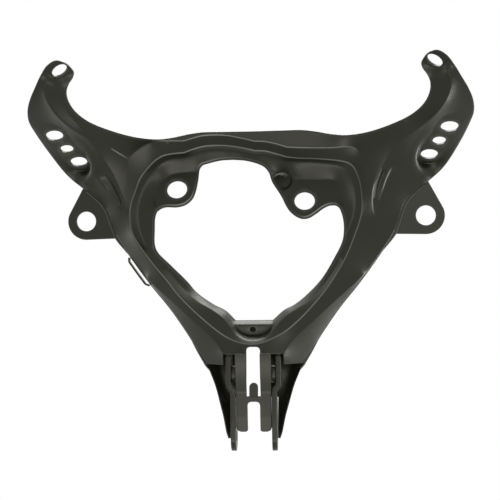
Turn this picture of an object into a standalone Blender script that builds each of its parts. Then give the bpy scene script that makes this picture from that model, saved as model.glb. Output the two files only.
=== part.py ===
"""Motorcycle fairing stay: a pressed and welded steel bracket that holds the headlight, the
mirrors and the upper fairing in front of the steering head.

Frame: +X to the right as the rider sees it, +Y forwards (away from the rider), +Z up.
The origin is in the middle plane, level with the lower ends of the clevis plates.
"""

import math

import bmesh
import bpy
import numpy as np
from mathutils import Matrix, Vector
from mathutils.geometry import delaunay_2d_cdt

MM = 0.001

# Sheet and fit
SHEET = 2.2 * MM              # wall of the main pressing
SHELL_SHEET = 1.8 * MM        # wall of the rear shell
CLEARANCE = 0.3 * MM          # gap that welded faces keep in the model
PITCH = 7.0 * MM              # spacing of the loose points inside a pressed face
STEP = 4.6 * MM               # spacing of the points along an edge or a crease
HEM = 8.0 * MM                # depth of the edge turned forwards round the horns
HORN_HEM_END = 254.0 * MM     # height where that edge runs out against the rear shell
HORN_NECK_LOW, HORN_NECK_HIGH = 298.0 * MM, 326.0 * MM
TIP_HEM = 1.6 * MM            # the same edge round the horns' tips
TIP_COLLAR = 2.2 * MM         # depth of the rim drawn round a tip's hole
DEPTH_ORIGIN = 12.9 * MM      # depth of the frame's zero plane behind the clevis edges

# Mirror pads on the horns
PAD_X, PAD_Y, PAD_Z = 173.8 * MM, 30.3 * MM, 282.5 * MM   # middle hole
PAD_SLOPE = 1.5               # rise of depth over fall of height
PAD_PITCH = 13.1 * MM         # hole spacing, seen from behind
PAD_LEAN = math.radians(55.5) # direction of the row of holes, seen from behind
PAD_HOLE_R = 8.0 * MM
PAD_MID_HOLE_R = 6.1 * MM

# Horn tips
TIP_X, TIP_Y, TIP_Z = 162.4 * MM, -36.0 * MM, 343.4 * MM
TIP_SLOPE_X, TIP_SLOPE_Z = 0.68, 1.34
TIP_HOLE_R = 7.2 * MM
TIP = (TIP_X / MM, TIP_Z / MM)

# Headlight ears inside the ring
EAR_Y, EAR_Z = 47.5 * MM, 230.0 * MM
EAR_SLOPE = 0.5
EAR_HOLE_R = 9.6 * MM
EAR_LEFT = (-73.0 * MM, 243.5 * MM)
EAR_RIGHT = (49.0 * MM, 230.0 * MM)
LOCATING_PAD = (28.0 * MM, 250.0 * MM)
LOCATING_R = 9.4 * MM
LOCATING_DEPTH = 2.2 * MM

# Threaded face under the window
LATCH_Y, LATCH_Z = 37.0 * MM, 105.0 * MM
LATCH_SLOPE = 0.7
LATCH_HOLE_R = 2.6 * MM

# Legs and rear shell
LEG_END = 78.0 * MM           # height of the front sheet's cut end beside the clevis
SHELL_TOP = 246.0 * MM
SHELL_LIP = 3.4 * MM          # how far the rear shell's edge stands out at most
LIP_BY_LUG, LIP_BY_FOOT = 40.0 * MM, 30.0 * MM   # heights over which that lip fades
SHELL_END = 6.0 * MM          # width of the shell's cut top end
WEB_FOOT, WEB_TOP = 46.0 * MM, 96.3 * MM         # heights of the shell's web behind the cheeks
WEB_FOOT_Y, WEB_TOP_Y = 37.5 * MM, 47.0 * MM     # its depths there
WEB_EDGE = 8.3 * MM           # distance of the web's inner edge from the middle plane

# Fairing lugs behind the legs
LUG_HOLE = (164.5 * MM, 214.5 * MM)
LUG_HOLE_R = 9.5 * MM
LUG_R = 18.0 * MM
LUG_SHEET = 2.6 * MM
LUG_TOP = (167.0 * MM, 247.5 * MM)
LUG_ROOT = (128.0 * MM, 231.0 * MM)
LUG_FOOT_X = 124.0 * MM
LUG_SEAT = 62.0 * MM + SHEET + SHELL_SHEET + 3 * CLEARANCE   # depth of the tabs' faces

# Harness guide on the left leg
GUIDE_LOW, GUIDE_HIGH = 152.0 * MM, 180.0 * MM
GUIDE_RAMP = 3.0 * MM         # height over which its ends bend in to the leg
GUIDE_STAND = 3.4 * MM        # how far its inner face stands off the leg's edge
GUIDE_NEAR, GUIDE_WIDTH = 0.5 * MM, 6.5 * MM
GUIDE_SHEET = 1.6 * MM

# Clevis
CLEVIS_GAP = 33.0 * MM        # between the plates' lower ends
PLATE = 4.6 * MM
JOGGLE = 4.0 * MM             # how far the plates' upper ends stand further out
JOGGLE_LOW, JOGGLE_HIGH = 53.0 * MM, 60.0 * MM
PLATE_TOP = 88.0 * MM
BOLT_LOW = (18.0 * MM, 13.0 * MM)
BOLT_HIGH = (20.0 * MM, 70.0 * MM)
BOLT_R = 5.2 * MM
BRACKET_SHEET = 2.2 * MM
SLOT_HALF = 6.3 * MM
SLOT_TOP = 95.3 * MM
COLLAR_R = 8.2 * MM
SLEEVE_BEVEL = 0.4 * MM
STRIP_TOP, STRIP_FOOT = 88.0 * MM, 18.0 * MM
STRIP_DEPTH, STRIP_BOW = 11.0 * MM, 6.5 * MM
BAR_LOW, BAR_HIGH = 45.5 * MM, 50.5 * MM
TONGUE_HALF, TONGUE_TOP = 4.0 * MM, 62.5 * MM


def pad_depth(x, z):
    """Depth of the plane that a mirror's foot is bolted to."""
    return PAD_Y - PAD_SLOPE * (z - PAD_Z)


def tip_depth(x, z):
    """Depth of the plane of a horn's tip, which leans in over the rider."""
    return TIP_Y - TIP_SLOPE_Z * (z - TIP_Z) - TIP_SLOPE_X * (abs(x) - TIP_X)


def ear_depth(x, z):
    """Depth of the plane that the headlight's ears and the ledge above them lie in."""
    return EAR_Y + EAR_SLOPE * (z - EAR_Z)


def spline(keys, step=STEP):
    """Points at about one spacing along a curve through the key points (mm).

    A key is (x, z, depth), or (x, z, plane) where a function gives the depth. The curve
    is a Catmull-Rom spline that eases by the distance between its keys.
    """
    solid = []
    for x, z, depth in keys:
        x, z = x * MM, z * MM
        solid.append((x, z, depth(x, z) if callable(depth) else depth * MM))
    p = np.array(solid)
    p = np.vstack([2 * p[0] - p[1], p, 2 * p[-1] - p[-2]])
    out = [p[1]]
    for i in range(1, len(p) - 2):
        a, b, c, d = p[i - 1], p[i], p[i + 1], p[i + 2]
        k = [np.linalg.norm((v - u)[:2]) ** 0.5 + 1e-9 for u, v in ((a, b), (b, c), (c, d))]
        t0, t1, t2, t3 = 0.0, k[0], k[0] + k[1], sum(k)
        count = max(1, round(np.linalg.norm((c - b)[:2]) / step))
        for j in range(1, count + 1):
            t = t1 + (t2 - t1) * j / count
            ab = a + (b - a) * (t - t0) / (t1 - t0)
            bc = b + (c - b) * (t - t1) / (t2 - t1)
            cd = c + (d - c) * (t - t2) / (t3 - t2)
            abc = ab + (bc - ab) * (t - t0) / (t2 - t0)
            bcd = bc + (cd - bc) * (t - t1) / (t3 - t1)
            out.append(abc + (bcd - abc) * (t - t1) / (t2 - t1))
    return [tuple(v) for v in out]


def mirrored(points):
    """The same points on the other side of the middle plane, in reverse order."""
    return [(-x, z, depth) for x, z, depth in reversed(points)]


def joined(*runs):
    """One line out of several runs, each starting where the one before it ends."""
    line = []
    for run in runs:
        line += [q for q in run if not line or math.dist(line[-1][:2], q[:2]) > 0.2 * MM]
    if math.dist(line[0][:2], line[-1][:2]) < 0.2 * MM:
        line.pop()
    return line


def ring(center, radius, plane, sides=24, grow=1.0):
    """The seen outline of a round hole that is square to a sloping plane."""
    x0, z0 = center
    y0 = plane(x0, z0)
    gx = (plane(x0 + MM, z0) - y0) / MM
    gz = (plane(x0, z0 + MM) - y0) / MM
    across = Vector((1, gx, 0)).normalized()
    normal = Vector((gx, -1, gz)).normalized()
    along = normal.cross(across)
    points = []
    for i in range(sides):
        t = 2 * math.pi * i / sides
        v = (across * math.cos(t) + along * math.sin(t)) * radius * grow
        points.append((x0 + v.x, z0 + v.z, y0 + v.y))
    return points


def inside(points, loop):
    """Which of the points lie inside the closed line, by counting its crossings."""
    x, z = points[:, 0][:, None], points[:, 1][:, None]
    a = np.array([q[:2] for q in loop])
    b = np.roll(a, -1, axis=0)
    spans = (a[:, 1] > z) != (b[:, 1] > z)
    rise = np.where(b[:, 1] == a[:, 1], 1e-12, b[:, 1] - a[:, 1])
    cut = a[:, 0] + (z - a[:, 1]) * (b[:, 0] - a[:, 0]) / rise
    return (np.sum(spans & (x < cut), axis=1) % 2).astype(bool)


def relaxed(points, faces, held):
    """Heights of the loose points, each the mean of its neighbours, as in a stretched skin."""
    loose = np.flatnonzero(~held)
    if not len(loose):
        return points
    row = {int(v): i for i, v in enumerate(loose)}
    near = [set() for _ in points]
    for a, b, c in faces:
        near[a] |= {b, c}
        near[b] |= {a, c}
        near[c] |= {a, b}
    matrix = np.zeros((len(loose), len(loose)))
    right = np.zeros(len(loose))
    for v, i in row.items():
        matrix[i, i] = len(near[v])
        for n in near[v]:
            if n in row:
                matrix[i, row[n]] -= 1.0
            else:
                right[i] += points[n, 2]
    points[loose, 2] = np.linalg.solve(matrix, right)
    return points


def slivers(points, tris):
    """Which triangles are no more than a stretch of straight edge."""
    a, b, c = (points[tris[:, i], :2] for i in range(3))
    area = np.abs((b - a)[:, 0] * (c - a)[:, 1] - (b - a)[:, 1] * (c - a)[:, 0])
    longest = np.max([np.linalg.norm(v, axis=1) for v in (b - a, c - b, a - c)], axis=0)
    return area < longest * 0.03 * MM


def pressed_skin(outline, windows, creases, flats, pitch):
    """The middle surface of a pressing: a flat blank with every line drawn on it, pushed to depth.

    outline and windows are closed lines, creases are open lines, and each flat is a closed
    line with the plane that everything inside it lies in. Returns points and triangles.
    """
    lines = [(outline, True)] + [(w, True) for w in windows] + [(c, False) for c in creases]
    lines += [(loop, True) for loop, plane in flats]
    verts, edges = [], []
    for line, closed in lines:
        start = len(verts)
        verts += line
        edges += [(start + i, start + i + 1) for i in range(len(line) - 1)]
        if closed:
            edges.append((start + len(line) - 1, start))
    held = np.array(verts)
    low, high = held[:, :2].min(axis=0), held[:, :2].max(axis=0)
    rows = np.arange(low[1], high[1], pitch * math.sqrt(3) / 2)
    grid = np.array([(x + (pitch / 2 if i % 2 else 0), z) for i, z in enumerate(rows)
                     for x in np.arange(low[0], high[0], pitch)])
    grid = grid[inside(grid, outline)]
    for w in windows:
        grid = grid[~inside(grid, w)]
    reach = np.min(np.linalg.norm(grid[:, None, :] - held[None, :, :2], axis=2), axis=1)
    grid = grid[reach > 0.55 * pitch]
    flat = [Vector(v[:2]) for v in verts] + [Vector(v) for v in grid]
    out, _, faces, source, _, _ = delaunay_2d_cdt(flat, edges, [], 0, 0.05 * MM)
    points = np.array([(v.x, v.y, 0.0) for v in out])
    fixed = np.zeros(len(points), bool)
    for i, origin in enumerate(source):
        own = [k for k in origin if k < len(verts)]
        if own:
            points[i, 2] = verts[own[0]][2]
            fixed[i] = True
    tris = np.array([f for f in faces])
    middle = points[tris][:, :, :2].mean(axis=1)
    keep = inside(middle, outline)
    for w in windows:
        keep &= ~inside(middle, w)
    tris = tris[keep & ~slivers(points, tris)]
    used = np.unique(tris)
    renumber = -np.ones(len(points), int)
    renumber[used] = np.arange(len(used))
    points, fixed, tris = points[used], fixed[used], renumber[tris]
    for loop, plane in flats:
        for i in np.flatnonzero(inside(points, loop) & ~fixed):
            points[i, 2] = plane(points[i, 0], points[i, 1])
            fixed[i] = True
    return relaxed(points, tris, fixed), tris


def rim_of(tris):
    """The triangles' sides that no other triangle shares, as pairs in their own order."""
    sides = [(t[i], t[(i + 1) % 3]) for t in tris.tolist() for i in range(3)]
    shared = set(sides)
    return [(a, b) for a, b in sides if (b, a) not in shared]


def sheet_object(name, skin, wall, turned=(), across="XZ"):
    """A sheet-metal object: the skin, its turned-over edge and its wall, behind the skin.

    The skin's points are (x, z, depth). With across="YZ" they are (y, z, offset along X).
    turned lists points of the rim as (x, z, how far the rim is turned forwards there).
    """
    points, tris = skin
    points = points.tolist()
    faces = tris.tolist()
    deeper = {}
    for a, b in rim_of(tris):
        for v in (a, b):
            if v not in deeper and turned:
                x, z, depth = points[v]
                near = min(turned, key=lambda q: abs(q[0] - x) + abs(q[1] - z))
                if math.dist((x, z), near[:2]) < 0.1 * MM:
                    deeper[v] = len(points)
                    points.append([x, z, depth + near[2]])
        if a in deeper and b in deeper:
            faces.append([b, a, deeper[a], deeper[b]])
    if across == "XZ":
        solid = [(x, y, z) for x, z, y in points]
    else:
        solid = [(x, y, z) for y, z, x in points]
    data = bpy.data.meshes.new(name)
    data.from_pydata(solid, [], faces)
    thing = place(name, data)
    shell = thing.modifiers.new("wall", "SOLIDIFY")
    shell.thickness = wall
    shell.offset = -1.0
    shell.use_even_offset = True
    return thing


def place(name, data):
    """An object of this name in the part's collection, with its own material."""
    thing = bpy.data.objects.new(name, data)
    PART.objects.link(thing)
    paint = bpy.data.materials.new(name)
    paint.use_nodes = True
    shader = paint.node_tree.nodes["Principled BSDF"]
    shader.inputs["Base Color"].default_value = (0.018, 0.018, 0.016, 1)
    shader.inputs["Roughness"].default_value = 0.32
    shader.inputs["Metallic"].default_value = 0.0
    data.materials.append(paint)
    thing.location = (0, -DEPTH_ORIGIN, 0)
    return thing


def sleeve(name, center, radius, bore, length, sides=32):
    """A short tube along X: an open cylinder with a wall inside it and bevelled ends."""
    mesh = bmesh.new()
    upright = Matrix.Translation(center) @ Matrix.Rotation(math.pi / 2, 4, "Y")
    bmesh.ops.create_cone(mesh, cap_ends=False, segments=sides, radius1=radius,
                          radius2=radius, depth=length, matrix=upright)
    data = bpy.data.meshes.new(name)
    mesh.to_mesh(data)
    mesh.free()
    tube = place(name, data)
    wall = tube.modifiers.new("wall", "SOLIDIFY")
    wall.thickness = radius - bore
    wall.offset = -1.0
    wall.use_even_offset = True
    edge = tube.modifiers.new("edge", "BEVEL")
    edge.width = SLEEVE_BEVEL
    edge.segments = 1
    edge.limit_method = "ANGLE"
    edge.angle_limit = math.radians(50)
    return tube


# The outline's right half, from the middle of the top bar round the horn to the slot.
# Keys are (x, z, depth) in millimetres.
HORN = [
    (0, 296, 42), (30, 296.2, 42), (47, 296.2, 42), (60, 294.6, 42), (75, 291.6, 41),
    (89, 290, 38), (108, 291.5, 30), (130, 297, 16), (147, 304, 3), (156, 311.5, -9),
    (160, 320, -18), (160, 327, -24), (157, 333.5, -27),
    (TIP[0] - 9.4, TIP[1] - 4.4, -28), (TIP[0] - 10.4, TIP[1] + 0.6, tip_depth),
    (TIP[0] - 6.9, TIP[1] + 5.1, tip_depth), (TIP[0] + 0.1, TIP[1] + 7.3, tip_depth),
    (TIP[0] + 8.6, TIP[1] + 3.1, tip_depth), (TIP[0] + 16.1, TIP[1] - 4.9, -41),
    (186, 329, -33), (193, 320.5, -24),
    (198.5, 312, -13), (200.8, 304, -1), (199, 295, 14), (192.5, 279, 37), (181, 260, 55),
    (167, 247, 61), (148, 232, 62), (143, 225, 62), (138, 211, 62), (133, 198.5, 61.5),
    (119.5, 178.5, 59), (100, 152.5, 54), (80, 128.5, 49), (64, 106.5, 43), (54, 91.5, 38),
    (44, 78, 33),
]
FIELD_EDGE = [
    (112, 168, 55), (98, 153.5, 48), (80, 138.5, 40.5), (63, 124, 33), (47, 110.5, 26),
    (37, 102, 20.5), (31, 95, 16.5),
]

# The window, clockwise from the top, with the two headlight ears on its rim
WINDOW = [
    [(-19, 271.7, ear_depth), (-7, 270.5, ear_depth), (4, 267.5, ear_depth),
     (10.5, 264, ear_depth), (15, 258, ear_depth), (18, 249, ear_depth),
     (26, 236, ear_depth), (35.5, 219.5, ear_depth), (45, 213, ear_depth),
     (52, 213, ear_depth), (60, 217.5, ear_depth), (67, 222.5, ear_depth),
     (74, 225, ear_depth), (80.5, 223, 44), (83.5, 217, 44.5), (85.2, 209, 46),
     (85.3, 199, 47.5), (83.5, 190, 48.5), (77, 177, 49), (64, 156, 48.5), (49, 140.5, 46),
     (38, 132, 43), (28, 127, 40.5), (17.5, 118, 38)],
    [(17.5, 118, 38), (-17.5, 118, 38)],
    [(-17.5, 118, 38), (-27, 127, 40.5), (-39, 133, 43.5), (-55, 144.5, 46.5),
     (-64, 155, 48.5), (-80, 171, 49), (-92, 183.5, 48.5), (-94.3, 190, 47.5),
     (-94, 205, 46), (-93, 217, 45), (-90, 223, 44.5), (-84, 226, ear_depth),
     (-72, 226, ear_depth), (-64.5, 228, ear_depth), (-58, 233.5, ear_depth),
     (-55, 241, ear_depth), (-53, 253, ear_depth), (-52, 262.5, ear_depth),
     (-49.5, 266.5, ear_depth), (-43, 268.8, ear_depth), (-31, 271.3, ear_depth),
     (-19, 271.7, ear_depth)],
]

# Creases of the ring: its first and second step, the top of the ledge, the leg's inner turn
STEP_ONE = [
    (-121.5, 222, 48), (-121.5, 243, 45), (-119, 259, 43), (-116.5, 272, 41.5),
    (-106, 283, 41), (-94, 287.2, 41), (-77, 289, 41.5), (-64, 289.6, 42), (-48, 292, 42),
    (-25, 293, 42), (-11, 291, 42), (4, 287.5, 42), (19, 285, 42), (33, 281.5, 42),
    (59, 278.5, 42), (76, 279, 42), (92, 279.7, 42), (99, 277, 42), (103, 266, 43),
    (105, 256, 44.5), (106, 245, 46), (107.5, 224, 48.5),
]
STEP_TWO = [
    (-31, 285, 50), (-43, 284.3, 50), (-65, 278, 50), (-84, 275, 50), (-93, 270, 50),
    (-100, 263, 49.5), (-112, 243, 48.5), (-117, 228, 47.5), (-118, 214, 46.5),
    (-115, 201, 45), (-96, 173, 41), (-83, 158, 37), (-69, 141, 32), (-45, 119, 24),
    (-26, 105, 18.5), (-13, 99.5, 15.5), (-2, 97.8, 14.5), (9, 99.2, 15.5), (28, 108, 19.5),
    (41, 118, 24), (57, 134, 30.5), (71, 151, 36), (87, 177, 41.5), (96, 198, 45),
    (102, 216, 47.5), (103, 229, 48.5), (100.5, 249, 49.5), (94.5, 262, 50), (87, 266, 50),
    (59, 269, 50), (33, 272, 50), (19, 274.5, 50), (4, 278, 50), (-10, 282, 50),
    (-20, 284.3, 50), (-31, 285, 50),
]
LEDGE_TOP = [
    (-103, 188, 49), (-108, 201, 50), (-110.5, 219, 50.5), (-109.5, 234, 52),
    (-106, 246, 55), (-100, 258, 60), (-97, 263.5, 63), (-89, 268.5, 65.5), (-79, 271.5, 67),
    (-62, 274, 68.5), (-52, 276.5, 69.5), (-37, 278.5, 70), (-21, 278.8, 70), (-3, 276, 69.5),
    (8, 273, 68.5), (21, 269, 66.5), (35, 265.5, 65), (55, 263.5, 64), (74, 261.5, 62.5),
    (85, 258, 60), (91.5, 251, 57), (95, 239, 53.5), (96, 225, 51), (93, 211, 50),
    (87, 196, 49),
]
LEG_TURN = [
    (-82, 169, 48), (-66, 150.5, 43), (-52, 138.5, 37), (-39, 129, 32), (-30, 122.5, 28.5),
    (-24, 115.5, 26), (-18.5, 108.5, 23), (-12, 103.6, 20.5), (-5, 101.2, 19),
    (5, 101.2, 19), (12, 103.6, 20.5), (18.5, 109.5, 23.5), (24, 116.5, 27),
    (31, 123, 30), (41, 129.3, 33), (53, 139.5, 38), (67, 154.5, 44), (79, 173, 48),
]
LATCH = [(17, 114.2), (13.5, 109.5), (8, 106.2), (0, 105), (-8, 106.2), (-13.5, 109.5),
         (-17, 114.2)]
LATCH_HOLE = (-1.0 * MM, 109.8 * MM)

# Creases of the horns
PAD_RIM = [(160.5, 284, 28), (155.5, 277, 33.5), (153.5, 270, 38), (154, 263, 43),
           (157.5, 256, 49), (163, 250.5, 54.5)]
PAD_EDGE = [
    (174.5, 261, pad_depth), (160.5, 261, pad_depth), (157, 268, pad_depth),
    (158, 275, pad_depth), (161, 281, pad_depth), (165.5, 288, pad_depth),
    (168.5, 294, pad_depth), (173, 299.5, pad_depth), (180, 302.6, pad_depth),
    (188, 302.4, pad_depth), (193.8, 298.5, pad_depth), (190, 289, pad_depth),
    (182, 274.5, pad_depth), (174.5, 261, pad_depth),
]
LEFT_RIDGE = [
    (-173, 334, -40), (-176.5, 325, -35), (-174, 313, -25), (-168, 303, -12), (-160, 296, 2),
    (-149, 288.5, 16), (-144, 281, 24), (-140, 273, 31), (-132, 259, 39), (-124.5, 238, 45.5),
    (-121.5, 222, 48),
]
LEFT_VALLEY = [(-152, 300, 8), (-142.5, 291.5, 21), (-131, 284, 31), (-116.5, 272, 41.5)]
LEFT_SHOULDER = [(-148, 254, 45.5), (-139, 243, 46.5), (-131, 231, 49), (-125, 218, 51.5)]
LEFT_GROOVE = [(-140, 257, 45.5), (-134, 245, 49), (-127.5, 231, 51)]
RIGHT_RIDGE = [
    (173, 334, -40), (176.5, 325, -35), (174, 313, -25), (168, 303, -12), (158, 294.5, 4),
    (146, 287, 15), (137, 281, 22), (129.5, 274, 29), (123, 263, 35.5), (116, 248, 41.5),
    (113.5, 240, 43.5), (112.5, 226, 47), (114.5, 214, 50.5),
]
RIGHT_VALLEY = [(140, 298, 9), (129, 288, 20.5), (118, 276, 32), (107.5, 262, 42)]
RIGHT_SHOULDER = [(131, 259, 40), (125, 247, 44), (121, 235, 48), (118, 222, 51)]
RIGHT_GROOVE = [(123.5, 256, 43.5), (118.7, 243, 47.5), (116.3, 232, 49.8)]


def main_pressing():
    """The deep-drawn front sheet with the horns, the ring, the ears and the leg tops."""
    cheek = (plate_face(PLATE_TOP) + SHEET + CLEARANCE) / MM
    foot = (PLATE_TOP + CLEARANCE) / MM + 0.4
    knee = (cheek, foot, 13)
    half = joined(
        spline(HORN), spline([HORN[-1], (cheek, LEG_END / MM + 0.4, 18)]),
        spline([(cheek, LEG_END / MM + 0.4, 18), knee]),
        spline([knee, (SLOT_HALF / MM, foot, 10.5)]),
        spline([(SLOT_HALF / MM, foot, 10.5), (SLOT_HALF / MM, SLOT_TOP / MM - 3.2, 12.3)]),
        spline([(SLOT_HALF / MM, SLOT_TOP / MM - 3.2, 12.3),
                (SLOT_HALF / MM - 1, SLOT_TOP / MM - 1, 12.8),
                (SLOT_HALF / MM - 3.2, SLOT_TOP / MM, 13)], 1.5 * MM),
        spline([(SLOT_HALF / MM - 3.2, SLOT_TOP / MM, 13), (0, SLOT_TOP / MM, 13)]))
    outline = joined(half, mirrored(half))
    windows = [joined(*(spline(run) for run in WINDOW))]
    creases = [spline(keys) for keys in (
        STEP_ONE, LEDGE_TOP, LEG_TURN, LEFT_RIDGE, LEFT_VALLEY, LEFT_SHOULDER, LEFT_GROOVE,
        RIGHT_RIDGE, RIGHT_VALLEY, RIGHT_SHOULDER, RIGHT_GROOVE)]
    creases.append(spline(STEP_TWO[:-1]) + [spline(STEP_TWO)[0]])
    edge, rim = spline(FIELD_EDGE + [knee]), spline(PAD_RIM)
    creases += [edge, mirrored(edge), rim, mirrored(rim)]
    flats = []
    pad = joined(spline(PAD_EDGE))
    for side in (1, -1):
        loop = pad if side == 1 else mirrored(pad)
        flats.append((loop, pad_depth))
        for k, radius in ((-1, PAD_HOLE_R), (0, PAD_MID_HOLE_R), (1, PAD_HOLE_R)):
            center = (side * (PAD_X - k * PAD_PITCH * math.cos(PAD_LEAN)),
                      PAD_Z - k * PAD_PITCH * math.sin(PAD_LEAN))
            windows.append(ring(center, radius, pad_depth, 20))
        tip = (side * TIP_X, TIP_Z)
        windows.append(ring(tip, TIP_HOLE_R, tip_depth, 20))
        flats.append((ring(tip, TIP_HOLE_R, tip_depth, 20, 1.25), tip_depth))
    for center in (EAR_LEFT, EAR_RIGHT):
        windows.append(ring(center, EAR_HOLE_R, ear_depth, 28))
        flats.append((ring(center, EAR_HOLE_R, ear_depth, 28, 1.45), ear_depth))
    creases += locating_recess()
    latch = [(x, z, latch_depth) for x, z in LATCH]
    flats.append((joined(spline(latch), spline([latch[-1], latch[0]])), latch_depth))
    windows.append(ring(LATCH_HOLE, LATCH_HOLE_R, latch_depth, 12))
    skin = pressed_skin(outline, windows, creases, flats, PITCH)
    hem = [(x, z, hem_depth(z)) for x, z, depth in outline if z > HORN_HEM_END]
    for side in (1, -1):
        hem += [(x, z, TIP_COLLAR)
                for x, z, depth in ring((side * TIP_X, TIP_Z), TIP_HOLE_R, tip_depth, 20)]
    return outline, sheet_object("main_pressing", skin, SHEET, hem)


def hem_depth(z):
    """How far the horns' edge is turned forwards: full along the bar, little at the tips."""
    share = min(1.0, max(0.0, (z - HORN_NECK_LOW) / (HORN_NECK_HIGH - HORN_NECK_LOW)))
    return HEM + (TIP_HEM - HEM) * share


def latch_depth(x, z):
    """Depth of the small threaded face under the window, which looks down a little."""
    return LATCH_Y - LATCH_SLOPE * (z - LATCH_Z)


def locating_recess():
    """The edge and the floor of the round recess beside the right ear, cut by the window."""
    lines = []
    for radius, drop in ((LOCATING_R, 0.0), (LOCATING_R - 2 * MM, LOCATING_DEPTH)):
        arc = []
        for i in range(15):
            t = math.radians(-75 + 215 * i / 14)
            x = LOCATING_PAD[0] + radius * math.cos(t)
            z = LOCATING_PAD[1] + radius * math.sin(t)
            arc.append((x, z, ear_depth(x, z) + drop))
        lines.append(arc)
    return lines


# Lines of the rear shell on the right leg (x, z, depth in millimetres)
SHELL_FOOT = [(45, 71.5, 34.5), (38, 58, 29.5), (31.6, 41, 22), (27.6, 30, 17.5),
              (25, 18, 13.5), (23.8, 12, 12)]
SHELL_INNER = [(108, 222, 62.5), (100, 205, 61), (94, 190, 58), (78, 165, 55),
               (60, 140, 53), (46, 126, 51), (32, 116, 49.5), (20, 112, 48), (0, 112, 47.5)]
SHELL_SPINE = [(128, 232, 64.4), (119, 206, 64.2), (104, 180, 64), (86, 155, 61.5),
               (68, 132, 58.5), (53, 113, 55), (42, 96, 51), (35.5, 78, 47), (31, 60, 42),
               (27.5, 44, 36.5)]


def offset(line, distance):
    """The line moved sideways, to the left of its own direction, by distance(z)."""
    out = []
    for i, (x, z, depth) in enumerate(line):
        a, b = line[max(i - 1, 0)], line[min(i + 1, len(line) - 1)]
        run = Vector((b[0] - a[0], b[1] - a[1])).normalized()
        gap = distance(z)
        out.append((x - run.y * gap, z + run.x * gap, depth))
    return out


def straight(points):
    """Straight runs between points given in metres."""
    keys = [(x / MM, z / MM, depth / MM) for x, z, depth in points]
    return joined(*(spline(pair) for pair in zip(keys, keys[1:])))


def shell_lip(z):
    """How far the shell's edge stands outside the front sheet: most by the lug and the foot."""
    lug = max(0.0, 1 - abs(z - LUG_HOLE[1]) / LIP_BY_LUG)
    foot = max(0.0, 1 - (z - LEG_END) / LIP_BY_FOOT)
    return SHELL_LIP * max(0.3, min(1.0, 1.6 * lug), min(1.0, foot))


def rear_shell(outline):
    """The closing sheet behind both legs, whose edge stands a little outside the front sheet."""
    seat = SHEET + CLEARANCE + 0.1 * MM
    lower = [(x, z, depth + seat) for x, z, depth in outline
             if x > 40 * MM and LEG_END <= z <= SHELL_TOP]
    outer = joined(offset(lower, lambda z: shell_lip(z)), spline(SHELL_FOOT))
    bed = offset(lower, lambda z: -3.5 * MM)
    cheek = plate_face(0) + CLEARANCE
    inner = spline(SHELL_INNER)
    corner = offset(outer[:2], lambda z: -SHELL_END)[0]
    top = straight([inner[0], corner, outer[0]])
    up = straight([(cheek, outer[-1][1], 14 * MM), (cheek, WEB_FOOT - 4 * MM, 33 * MM),
                   (cheek, WEB_FOOT, WEB_FOOT_Y), (WEB_EDGE, WEB_FOOT, WEB_FOOT_Y),
                   (WEB_EDGE, WEB_TOP, WEB_TOP_Y), (0, WEB_TOP, WEB_TOP_Y)])
    half = joined(inner[::-1], top, outer, up)
    whole = joined(half, mirrored(half))
    spine = spline(SHELL_SPINE)
    skin = pressed_skin(whole, [], [spine, mirrored(spine), bed, mirrored(bed)], [],
                        1.3 * PITCH)
    return sheet_object("rear_shell", skin, SHELL_SHEET)


def lug(name, side):
    """A flat three-cornered tab behind the leg, with a large hole for the fairing's grommet."""
    x0, z0 = LUG_HOLE
    face = LUG_SEAT
    points = [LUG_TOP, LUG_ROOT, (LUG_FOOT_X, z0 - LUG_R + 1 * MM)]
    arc = [(x0 + LUG_R * math.cos(t), z0 + LUG_R * math.sin(t))
           for t in np.radians(np.linspace(-92, 22, 14))]
    loop = [(x, z, face) for x, z in points + arc]
    if side < 0:
        loop = mirrored(loop)
    hole = ring((side * x0, z0), LUG_HOLE_R, lambda x, z: face, 32)
    skin = pressed_skin(loop, [hole], [], [], 12 * MM)
    return sheet_object(name, skin, LUG_SHEET)


def plate_face(z):
    """Distance of a clevis plate's outer face from the middle plane at a height."""
    rise = min(1.0, max(0.0, (z - JOGGLE_LOW) / (JOGGLE_HIGH - JOGGLE_LOW)))
    return CLEVIS_GAP / 2 + PLATE + JOGGLE * rise


# Edge of a clevis plate above its round end (y, z in millimetres): the back, then the front
CHEEK_BACK = [(32.5, 30), (35, 53), (38.5, 60), (43, 86), (41, 88)]
CHEEK_FRONT = [(14.5, 88), (13, 86.5), (10, 60), (8.5, 53), (6, 30)]


def clevis_plate(name, side):
    """A cheek of the clevis: a joggled plate with a bolt hole at its end and one higher up."""
    y0, z0 = BOLT_LOW
    low_r = z0
    arc = [(y0 + low_r * math.cos(t), z0 + low_r * math.sin(t))
           for t in np.radians(np.linspace(-172, -8, 13))]
    back = [(y * MM, z * MM) for y, z in CHEEK_BACK]
    front = [(y * MM, z * MM) for y, z in CHEEK_FRONT]
    loop = arc + back + front
    loop = joined(*(spline([(a[0] / MM, a[1] / MM, 0), (b[0] / MM, b[1] / MM, 0)], 9 * MM)
                    for a, b in zip(loop, loop[1:] + loop[:1])))
    holes = [ring(center, BOLT_R, lambda y, z: 0.0, 24) for center in (BOLT_LOW, BOLT_HIGH)]
    folds = [[(y, start[1], 0.0) for y in np.linspace(start[0], end[0], 6)]
             for start, end in ((front[3], back[1]), (front[2], back[2]))]
    points, tris = pressed_skin(loop, holes, folds, [], 12 * MM)
    points[:, 2] = [side * plate_face(z) for z in points[:, 1]]
    if side < 0:
        tris = tris[:, ::-1]
    return sheet_object(name, (points, tris), PLATE, across="YZ")


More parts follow.
